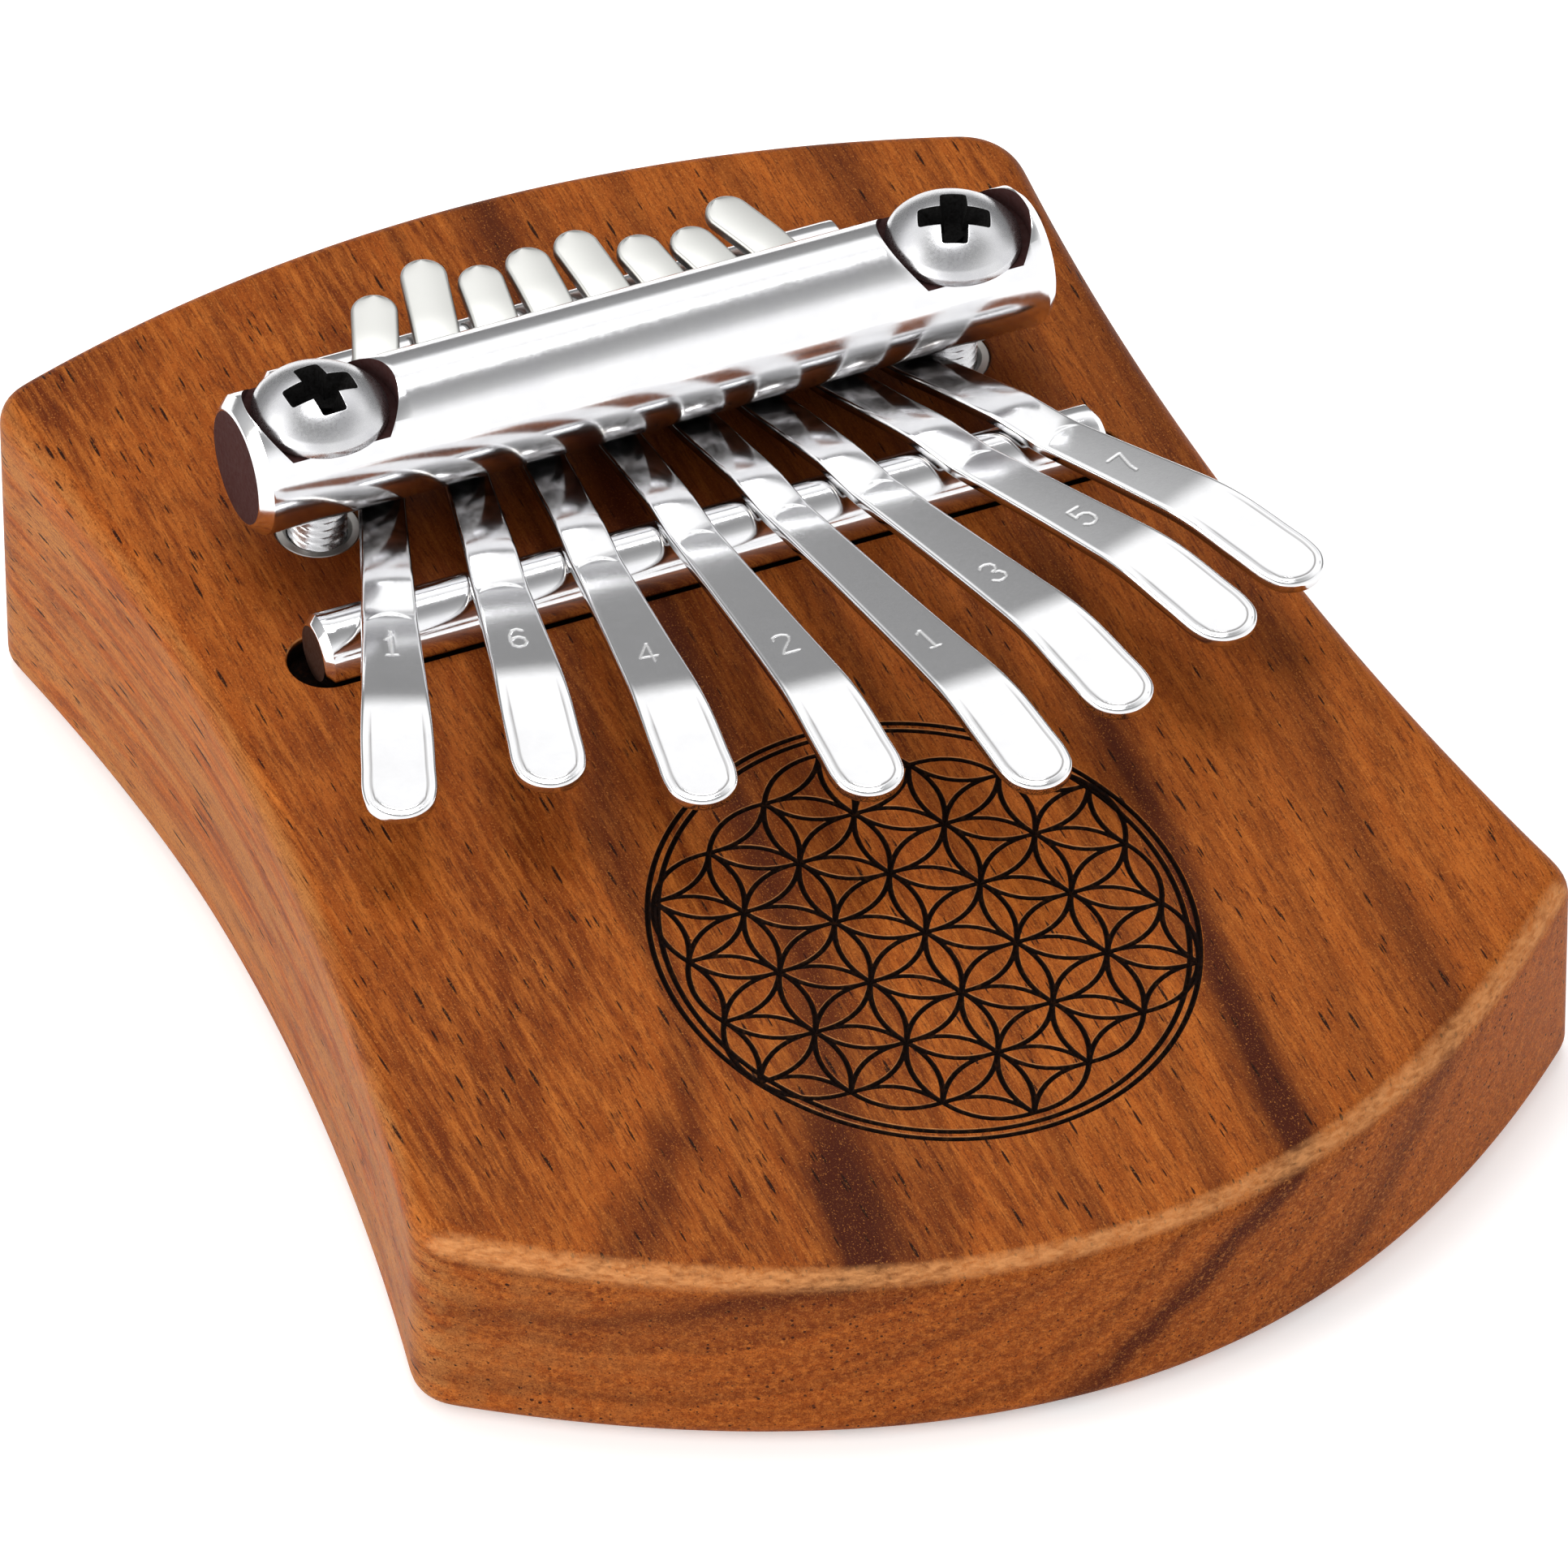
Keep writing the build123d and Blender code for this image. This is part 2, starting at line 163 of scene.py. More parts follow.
def noise(nt, vec, scale, detail=3.0, rough=0.5, dist=0.0):
    n = nt.nodes.new("ShaderNodeTexNoise")
    nt.links.new(vec, n.inputs["Vector"])
    n.inputs["Scale"].default_value = scale
    n.inputs["Detail"].default_value = detail
    n.inputs["Roughness"].default_value = rough
    n.inputs["Distortion"].default_value = dist
    return n.outputs[0]


def scaled(nt, vec, s):
    n = nt.nodes.new("ShaderNodeVectorMath")
    n.operation = "MULTIPLY"
    nt.links.new(vec, n.inputs[0])
    n.inputs[1].default_value = s
    return n.outputs[0]


def coords(nt):
    """Rest position in millimetres."""
    tc = nt.nodes.new("ShaderNodeTexCoord")
    return scaled(nt, tc.outputs["Object"], (1000, 1000, 1000))


def wood():
    m, nt, bs = mat("hardwood")
    p = coords(nt)
    sep = node(nt, "ShaderNodeSeparateXYZ", inputs={0: p})
    x, y, z = sep.outputs
    # slow drift of the grain along the length, then the ring radius across it
    drift = noise(nt, scaled(nt, p, (0.022, 0.010, 0.022)), 1.0, 2.0, 0.5)
    wob = noise(nt, scaled(nt, p, (0.16, 0.012, 0.16)), 1.0, 3.0, 0.6)
    dx = math_(nt, "ADD", x, 42.0)
    dz = math_(nt, "SUBTRACT", z, 82.0)
    r = math_(nt, "SQRT", math_(nt, "ADD", math_(nt, "MULTIPLY", dx, dx), math_(nt, "MULTIPLY", dz, dz)))
    r = math_(nt, "ADD", r, math_(nt, "MULTIPLY", math_(nt, "SUBTRACT", drift, 0.5), 13.0))
    r = math_(nt, "ADD", r, math_(nt, "MULTIPLY", math_(nt, "SUBTRACT", wob, 0.5), 3.4))
    rad = node(nt, "ShaderNodeCombineXYZ", inputs={0: r})
    rings = noise(nt, scaled(nt, rad.outputs[0], (0.55, 0, 0)), 1.0, 4.0, 0.62)
    # two broad dark bands and a few weak ones
    bands = None
    for c, wd, a in ((69.0, 1.25, 1.0), (71.5, 0.9, 0.35), (89.9, 1.5, 1.0), (85.2, 0.9, 0.25), (77.5, 0.9, 0.30), (95.5, 1.2, 0.30), (64.2, 0.9, 0.45), (102.0, 2.4, 0.50)):
        e = math_(nt, "DIVIDE", math_(nt, "SUBTRACT", r, c), wd)
        g = math_(nt, "MULTIPLY", math_(nt, "EXPONENT", math_(nt, "MULTIPLY", math_(nt, "MULTIPLY", e, e), -1.0)), a)
        bands = g if bands is None else math_(nt, "ADD", bands, g)
    patch = noise(nt, scaled(nt, p, (0.05, 0.014, 0.05)), 1.0, 2.0, 0.5)
    bands = math_(nt, "MULTIPLY", bands, remap(nt, patch, 0.34, 0.60, 0.60, 1.20))
    face = node(nt, "ShaderNodeSeparateXYZ", inputs={0: node(nt, "ShaderNodeTexCoord").outputs["Normal"]})
    left_face_light = remap(nt, face.outputs[0], -0.35, -0.80, 0.0, 1.0, True)      # painted light: faces turned to the left are lightened and lose their dark bands
    bands = math_(nt, "MULTIPLY", bands, math_(nt, "SUBTRACT", 1.0, math_(nt, "MULTIPLY", left_face_light, remap(nt, z, 3.0, 12.0, 0.25, 0.85))))
    streak = noise(nt, scaled(nt, p, (1.5, 0.035, 1.5)), 1.0, 5.0, 0.62)
    fine = noise(nt, scaled(nt, p, (6.5, 0.16, 6.5)), 1.0, 4.0, 0.6)
    base = mix(nt, remap(nt, rings, 0.38, 0.62), (0.114, 0.0205, 0.0022), (0.305, 0.070, 0.0078))
    base = mix(nt, remap(nt, streak, 0.44, 0.68, 0.0, 0.72), base, (0.450, 0.132, 0.0200))
    # painted light on the left faces: paler streaked wood where the left side catches the light
    left_light_grain = noise(nt, scaled(nt, p, (0.55, 0.030, 0.55)), 1.0, 4.0, 0.6)
    base = mix(nt, math_(nt, "MULTIPLY", left_face_light, remap(nt, left_light_grain, 0.40, 0.60, 0.05, 0.90)), base, (0.305, 0.118, 0.031))
    base = mix(nt, remap(nt, x, -25.0, 30.0, 0.0, 0.30, True), base, (0.400, 0.105, 0.0135))
    base = mix(nt, remap(nt, fine, 0.50, 0.32, 0.0, 0.75), base, (0.066, 0.0105, 0.0014))
    base = mix(nt, math_(nt, "MULTIPLY", bands, 1.0, clamp=True), base, (0.047, 0.0074, 0.0018))
    # pores: short dark slits along the length, dots on the end grain
    dense = remap(nt, noise(nt, scaled(nt, p, (0.07, 0.03, 0.07)), 1.0, 2.0), 0.38, 0.60, 0.0, 1.0)
    pore = None
    for sc, shift, thr, lo, hi, amt in (((1.45, 0.100, 1.45), 0.0, 0.70, 0.10, 0.21, 0.97), ((2.3, 0.19, 2.3), 7.3, 0.82, 0.10, 0.20, 0.92)):
        pv = node(nt, "ShaderNodeTexVoronoi", feature="F1", distance="EUCLIDEAN", inputs={"Vector": scaled(nt, node(nt, "ShaderNodeVectorMath", operation="ADD", inputs={0: p, 1: (shift, shift * 3, shift)}).outputs[0], sc), "Scale": 1.0, "Randomness": 1.0})
        keep = node(nt, "ShaderNodeSeparateColor", inputs={0: pv.outputs["Color"]})
        sel = remap(nt, math_(nt, "ADD", keep.outputs[0], math_(nt, "MULTIPLY", dense, 0.38)), thr, thr + 0.03, 0.0, 1.0)
        size = remap(nt, keep.outputs[1], 0.0, 1.0, lo, hi)
        one = remap(nt, math_(nt, "SUBTRACT", pv.outputs["Distance"], size), 0.04, -0.03, 0.0, amt)
        one = math_(nt, "MULTIPLY", one, sel)
        pore = one if pore is None else math_(nt, "MAXIMUM", pore, one)
    base = mix(nt, pore, base, (0.010, 0.0022, 0.0010))
    grit = noise(nt, scaled(nt, p, (7.5, 4.5, 7.5)), 1.0, 2.0, 0.7)
    base = mix(nt, remap(nt, grit, 0.44, 0.28, 0.0, 0.70), base, (0.060, 0.0095, 0.0012))
    base = mix(nt, remap(nt, grit, 0.58, 0.74, 0.0, 0.62), base, (0.520, 0.190, 0.0400))
    speck = noise(nt, scaled(nt, p, (3.0, 1.1, 3.0)), 1.0, 3.0, 0.7)
    base = mix(nt, remap(nt, speck, 0.62, 0.78, 0.0, 0.45), base, (0.115, 0.030, 0.007))
    # end grain drinks more finish and reads darker
    geo = node(nt, "ShaderNodeNewGeometry")
    tcn = node(nt, "ShaderNodeTexCoord")
    nrm = node(nt, "ShaderNodeSeparateXYZ", inputs={0: tcn.outputs["Normal"]})
    end = remap(nt, math_(nt, "ABSOLUTE", nrm.outputs[1]), 0.5, 0.95)
    hatch = noise(nt, scaled(nt, p, (0.9, 1.0, 3.2)), 1.0, 3.0, 0.6, 0.4)
    base = mix(nt, math_(nt, "MULTIPLY", end, remap(nt, hatch, 0.35, 0.70, 0.05, 0.42)), base, (0.105, 0.020, 0.004))
    fleck = noise(nt, scaled(nt, p, (2.6, 2.6, 4.2)), 1.0, 3.0, 0.65, 0.6)
    side = remap(nt, x, -15.0, 35.0, 0.35, 1.0)
    base = mix(nt, math_(nt, "MULTIPLY", math_(nt, "MULTIPLY", end, side), remap(nt, fleck, 0.54, 0.68, 0.0, 0.60)), base, (0.480, 0.180, 0.045))
    base = mix(nt, math_(nt, "MULTIPLY", math_(nt, "MULTIPLY", end, side), remap(nt, fleck, 0.44, 0.32, 0.0, 0.75)), base, (0.050, 0.0080, 0.0015))
    # painted highlight: the rounded front top edge is lightened where it catches the light
    ny = math_(nt, "MULTIPLY", nrm.outputs[1], -1.0)
    edge = math_(nt, "MULTIPLY", remap(nt, ny, 0.30, 0.60, 0.0, 1.0, True), remap(nt, ny, 0.93, 0.76, 0.0, 1.0, True))
    edge = math_(nt, "MULTIPLY", edge, remap(nt, nrm.outputs[2], 0.1, 0.4))
    base = mix(nt, math_(nt, "MULTIPLY", edge, remap(nt, hatch, 0.35, 0.65, 0.25, 0.75)), base, (0.570, 0.250, 0.090))
    # painted shade: the wood under and between the bar and the rods is darkened, standing in for the bar's shadow
    qq = math_(nt, "ADD", math_(nt, "MULTIPLY", math_(nt, "SUBTRACT", y, ROS_Y), CW), math_(nt, "MULTIPLY", math_(nt, "SUBTRACT", z, DECK_Z0), SW))
    hardware_shade = math_(nt, "MULTIPLY", remap(nt, qq, 47.5, 52.0, 0.0, 1.0, True), remap(nt, qq, 73.0, 66.0, 0.0, 1.0, True))
    hardware_shade = math_(nt, "MULTIPLY", hardware_shade, remap(nt, math_(nt, "ABSOLUTE", x), 39.0, 30.0, 0.0, 1.0, True))
    base = mix(nt, math_(nt, "MULTIPLY", hardware_shade, 0.62), base, (0.045, 0.0070, 0.0022))
    # burnt engraved lines, and the rod and insert pockets darkening with depth (partly scorched wood, partly painted
    # shade): everything below the deck surface
    qh = math_(nt, "ADD", math_(nt, "MULTIPLY", math_(nt, "SUBTRACT", z, DECK_Z0), CW), math_(nt, "MULTIPLY", math_(nt, "SUBTRACT", y, ROS_Y), -SW))
    on_top = remap(nt, math_(nt, "ABSOLUTE", nrm.outputs[2]), 0.05, 0.2)
    burn_at = node(nt, "ShaderNodeAttribute", attribute_name="burn_and_shade", attribute_type="GEOMETRY")
    burn_and_shade = burn_at.outputs["Fac"]
    char = noise(nt, scaled(nt, p, (2.2, 2.2, 2.2)), 1.0, 3.0, 0.6)
    base = mix(nt, math_(nt, "MULTIPLY", remap(nt, burn_and_shade, 0.04, 0.28, 0.0, 1.0, True), remap(nt, char, 0.2, 0.5, 0.92, 1.0)), base, (0.0045, 0.0018, 0.0012))
    nt.links.new(base, bs.inputs["Base Color"])
    rough = remap(nt, fine, 0.3, 0.7, 0.44, 0.60)
    rough = math_(nt, "ADD", rough, math_(nt, "MULTIPLY", remap(nt, burn_and_shade, 0.02, 0.5), 0.35))
    nt.links.new(math_(nt, "ADD", rough, math_(nt, "MULTIPLY", end, 0.06)), bs.inputs["Roughness"])
    bs.inputs["Specular IOR Level"].default_value = 0.06
    hgt = math_(nt, "SUBTRACT", math_(nt, "MULTIPLY", fine, 0.35), math_(nt, "MULTIPLY", pore, 0.9))
    hgt = math_(nt, "ADD", hgt, math_(nt, "MULTIPLY", speck, 0.25))
    bump = node(nt, "ShaderNodeBump", inputs={"Height": hgt, "Strength": 0.5, "Distance": 0.00008})
    nt.links.new(bump.outputs[0], bs.inputs["Normal"])
    return m


def metal(name, colour, tint, rough_lo, rough_hi, grain, bump_s=0.0, matte=None, stretch=(1, 1, 1), shade_colour=None):
    m, nt, bs = mat(name)
    p = coords(nt)
    n1 = noise(nt, scaled(nt, p, (0.35, 0.35, 0.35)), 1.0, 3.0, 0.55)
    n2 = noise(nt, scaled(nt, p, tuple(grain * s for s in stretch)), 1.0, 3.0, 0.65)
    col = mix(nt, remap(nt, n1, 0.3, 0.7), colour, tint)
    rough = remap(nt, math_(nt, "ADD", math_(nt, "MULTIPLY", n1, 0.4), math_(nt, "MULTIPLY", n2, 0.6)), 0.32, 0.68, rough_lo, rough_hi)
    if matte:
        at = node(nt, "ShaderNodeAttribute", attribute_name="matte", attribute_type="GEOMETRY")
        f = remap(nt, at.outputs["Fac"], 0.0, 1.0, 0.0, 1.0, True)
        rough = math_(nt, "ADD", rough, math_(nt, "MULTIPLY", f, matte))
        col = mix(nt, f, col, (0.53, 0.53, 0.51))
        # painted shade: tines between the front rod and the rear rod are darkened with swirls, standing in for the
        # bar's shadow and its dark reflection
        sp = node(nt, "ShaderNodeSeparateXYZ", inputs={0: p})
        qt = math_(nt, "ADD", math_(nt, "MULTIPLY", math_(nt, "SUBTRACT", sp.outputs[1], ROS_Y), CW), math_(nt, "MULTIPLY", math_(nt, "SUBTRACT", sp.outputs[2], DECK_Z0), SW))
        bar_shade = math_(nt, "MULTIPLY", remap(nt, qt, 50.5, 55.0, 0.0, 1.0, True), remap(nt, qt, 71.0, 67.0, 0.0, 1.0, True))
        shade_swirl = noise(nt, scaled(nt, p, (0.30, 0.22, 0.30)), 1.0, 3.0, 0.6, 1.6)
        col = mix(nt, math_(nt, "MULTIPLY", bar_shade, remap(nt, shade_swirl, 0.38, 0.60, 0.35, 0.92)), col, (0.19, 0.175, 0.165))
        # painted shade: dark lines on the tines' undersides, the tails' sides and the tip crease
        dark_line_attr = node(nt, "ShaderNodeAttribute", attribute_name="line", attribute_type="GEOMETRY")
        col = mix(nt, math_(nt, "MULTIPLY", dark_line_attr.outputs["Fac"], 0.85), col, (0.16, 0.15, 0.145))
        mark = node(nt, "ShaderNodeAttribute", attribute_name="mark", attribute_type="GEOMETRY")
        mf = remap(nt, mark.outputs["Fac"], 0.0, 0.8)
        rough = math_(nt, "ADD", rough, math_(nt, "MULTIPLY", mf, 0.18))
        col = mix(nt, math_(nt, "MULTIPLY", mf, 0.6), col, (0.97, 0.97, 0.96))
    metallic = None
    # painted shade and painted reflection: marked faces turn dark and nearly non-metallic
    if shade_colour:
        at = node(nt, "ShaderNodeAttribute", attribute_name="painted_shade", attribute_type="GEOMETRY")
        g = at.outputs["Fac"]
        col = mix(nt, math_(nt, "MULTIPLY", g, remap(nt, n2, 0.25, 0.75, 0.985, 1.0)), col, shade_colour)
        rough = math_(nt, "ADD", rough, math_(nt, "MULTIPLY", g, 0.40))
        metallic = math_(nt, "SUBTRACT", 1.0, math_(nt, "MULTIPLY", g, 0.97))
        nt.links.new(math_(nt, "SUBTRACT", 0.5, math_(nt, "MULTIPLY", g, 0.49)), bs.inputs["Specular IOR Level"])
    nt.links.new(col, bs.inputs["Base Color"])
    nt.links.new(rough, bs.inputs["Roughness"])
    bs.inputs["Metallic"].default_value = 1.0
    if metallic is not None:
        nt.links.new(metallic, bs.inputs["Metallic"])
    if bump_s:
        b = node(nt, "ShaderNodeBump", inputs={"Height": n2, "Strength": bump_s, "Distance": 0.00002})
        nt.links.new(b.outputs[0], bs.inputs["Normal"])
    return m


M_WOOD = wood()
# The last tint of each finish is painted: a dark brown reflection of the wood on the rod and bar end faces, painted
# shade in the bar's seats and holes, near-black painted shade in the screw recesses.
M_ROD = metal("rod_chrome", (0.86, 0.86, 0.87), (0.80, 0.80, 0.82), 0.05, 0.13, 3.0, 0.05, shade_colour=(0.030, 0.011, 0.006))
M_BAR = metal("bar_chrome", (0.90, 0.90, 0.91), (0.84, 0.84, 0.86), 0.11, 0.18, 2.5, 0.06, shade_colour=(0.036, 0.0125, 0.0115))
M_SCREW = metal("screw_nickel", (0.66, 0.66, 0.67), (0.56, 0.56, 0.58), 0.22, 0.34, 4.0, 0.12, shade_colour=(0.0025, 0.0022, 0.0020))
M_INS = metal("insert_steel", (0.50, 0.49, 0.47), (0.40, 0.39, 0.37), 0.34, 0.50, 5.0, 0.15)
M_TINE = metal("tine_steel", (0.84, 0.84, 0.85), (0.78, 0.78, 0.79), 0.075, 0.14, 3.5, 0.05, matte=0.30)


# ------------------------------------------------------------- wooden body
FLARE = {-1: (0.0208, 20.0), 1: (-0.0055, 10.0)}


def side_x(y, s):
    r = y - ROS_Y
    g, start = FLARE[s]
    u = y - start
    return s * (49.067 - 0.17976 * r + 0.0016500 * r * r + g * (u + np.sqrt(u * u + 40)))


def front_y(x):
    return -67.165 + np.where(x > 0, 0.00945, 0.0077) * x * x


def rear_y(x):
    return 65.890 - 0.0145 * x - 0.003958 * x * x


CORNERS = (3.6, 5.5, 4.2, 4.3)                            # front right, rear right, rear left, front left


def body_outline():
    """Closed plan outline, anticlockwise from the front left, with outward normals."""
    def corner(edge, s):
        x = 45.0 * s
        for _ in range(80):
            x = 0.5 * x + 0.5 * side_x(edge(x), s)
        return x, float(edge(x))
    fr, rr, rl, fl = corner(front_y, 1), corner(rear_y, 1), corner(rear_y, -1), corner(front_y, -1)
    sides = []
    xs = np.linspace(fl[0], fr[0], 481); sides.append(np.stack([xs, front_y(xs)], 1))
    ys = np.linspace(fr[1], rr[1], 641); sides.append(np.stack([side_x(ys, 1), ys], 1))
    xs = np.linspace(rr[0], rl[0], 481); sides.append(np.stack([xs, rear_y(xs)], 1))
    ys = np.linspace(rl[1], fl[1], 641); sides.append(np.stack([side_x(ys, -1), ys], 1))
    cut, arc = [[0, 0] for _ in range(4)], []
    for i in range(4):
        a, b, cr = sides[i], sides[(i + 1) % 4], CORNERS[i]

        def off(s):
            d = np.gradient(s, axis=0); d /= np.linalg.norm(d, axis=1)[:, None]
            n = np.stack([-d[:, 1], d[:, 0]], 1)
            return s + n * cr, n
        ao, an = off(a); bo, bn = off(b)
        ja = np.arange(len(a) // 2, len(a))
        dd = np.linalg.norm(ao[ja][:, None, :] - bo[None, : len(b) // 2, :], axis=2)
        j, k = np.unravel_index(dd.argmin(), dd.shape)
        j = int(ja[j]); k = int(k)
        cut[i][1] = j
        cut[(i + 1) % 4][0] = k
        c = (ao[j] + bo[k]) / 2
        t0 = math.atan2(-an[j][1], -an[j][0]); t1 = math.atan2(-bn[k][1], -bn[k][0])
        while t1 < t0:
            t1 += 2 * math.pi
        arc.append([(c[0] + cr * math.cos(t), c[1] + cr * math.sin(t)) for t in np.linspace(t0, t1, 22)[1:-1]])
    out = []
    for i in range(4):
        lo, hi = cut[i]
        out += [tuple(v) for v in sides[i][lo:hi + 1:4]]
        out += arc[i]
    out = np.array(out)
    # even spacing keeps the fillet rings clean
    d = np.r_[0, np.cumsum(np.linalg.norm(np.diff(np.r_[out, out[:1]], axis=0), axis=1))]
    n = 760
    s = np.linspace(0, d[-1], n, endpoint=False)
    cl = np.r_[out, out[:1]]
    pts = np.stack([np.interp(s, d, cl[:, 0]), np.interp(s, d, cl[:, 1])], 1)
    for _ in range(3):
        pts = 0.25 * np.roll(pts, 1, 0) + 0.5 * pts + 0.25 * np.roll(pts, -1, 0)
    t = np.roll(pts, -1, 0) - np.roll(pts, 1, 0)
    t /= np.linalg.norm(t, axis=1)[:, None]
    nrm = np.stack([t[:, 1], -t[:, 0]], 1)
    return pts, nrm


OUT, ONRM = body_outline()


def deck_z(y):
    """Height of the sloping deck plane over plan point y, in mm."""
    return DECK_Z0 + (y - ROS_Y) * math.tan(W)


def rosette():
    """Centre lines of the engraved pattern, as polylines in (X, Q)."""
    s, cx, rot = 7.4, -0.61, math.radians(-0.66)
    pts = []
    for i in range(-3, 4):
        n = 7 - abs(i)
        for j in range(n):
            pts.append((i * math.sqrt(3) / 2 * s, (-(n - 1) / 2 + j) * s))
    lines = []
    for a in range(len(pts)):
        for b in range(a + 1, len(pts)):
            ax, ay = pts[a]; bx, by = pts[b]
            if abs(math.hypot(bx - ax, by - ay) - s) > 0.1:
                continue
            mx, my = (ax + bx) / 2, (ay + by) / 2
            nx, ny = -(by - ay) / s, (bx - ax) / s
            for side in (-1, 1):
                bulge = 0.134 * s * (1 + 0.30 * ny * ny) * side
                lines.append([(ax + (bx - ax) * t + nx * bulge * 4 * t * (1 - t), ay + (by - ay) * t + ny * bulge * 4 * t * (1 - t)) for t in np.linspace(0, 1, 10)])
    for d in (0.85, 0.0):                                 # the border is a slightly oval double ring
        lines.append([((22.0 - d) * math.cos(t), 0.37 + (24.4 - d) * math.sin(t)) for t in np.linspace(0, 2 * math.pi, 181)])
    c, sn = math.cos(rot), math.sin(rot)
    return [np.array([(cx + x * c - y * sn, x * sn + y * c) for x, y in l]) for l in lines]


GROOVE_HALF, GROOVE_DEPTH = 0.28, 0.32


def seg_distance(p, a, b):
    d = b - a
    ll = (d * d).sum(1)
    out = np.full(len(p), 9.0)
    for i in range(len(a)):
        near = np.where((np.abs(p[:, 0] - (a[i, 0] + b[i, 0]) / 2) < 1.6) & (np.abs(p[:, 1] - (a[i, 1] + b[i, 1]) / 2) < 1.6))[0]
        if not len(near):
            continue
        t = np.clip(((p[near] - a[i]) @ d[i]) / ll[i], 0, 1)
        dd = np.linalg.norm(p[near] - (a[i] + t[:, None] * d[i]), axis=1)
        out[near] = np.minimum(out[near], dd)
    return out


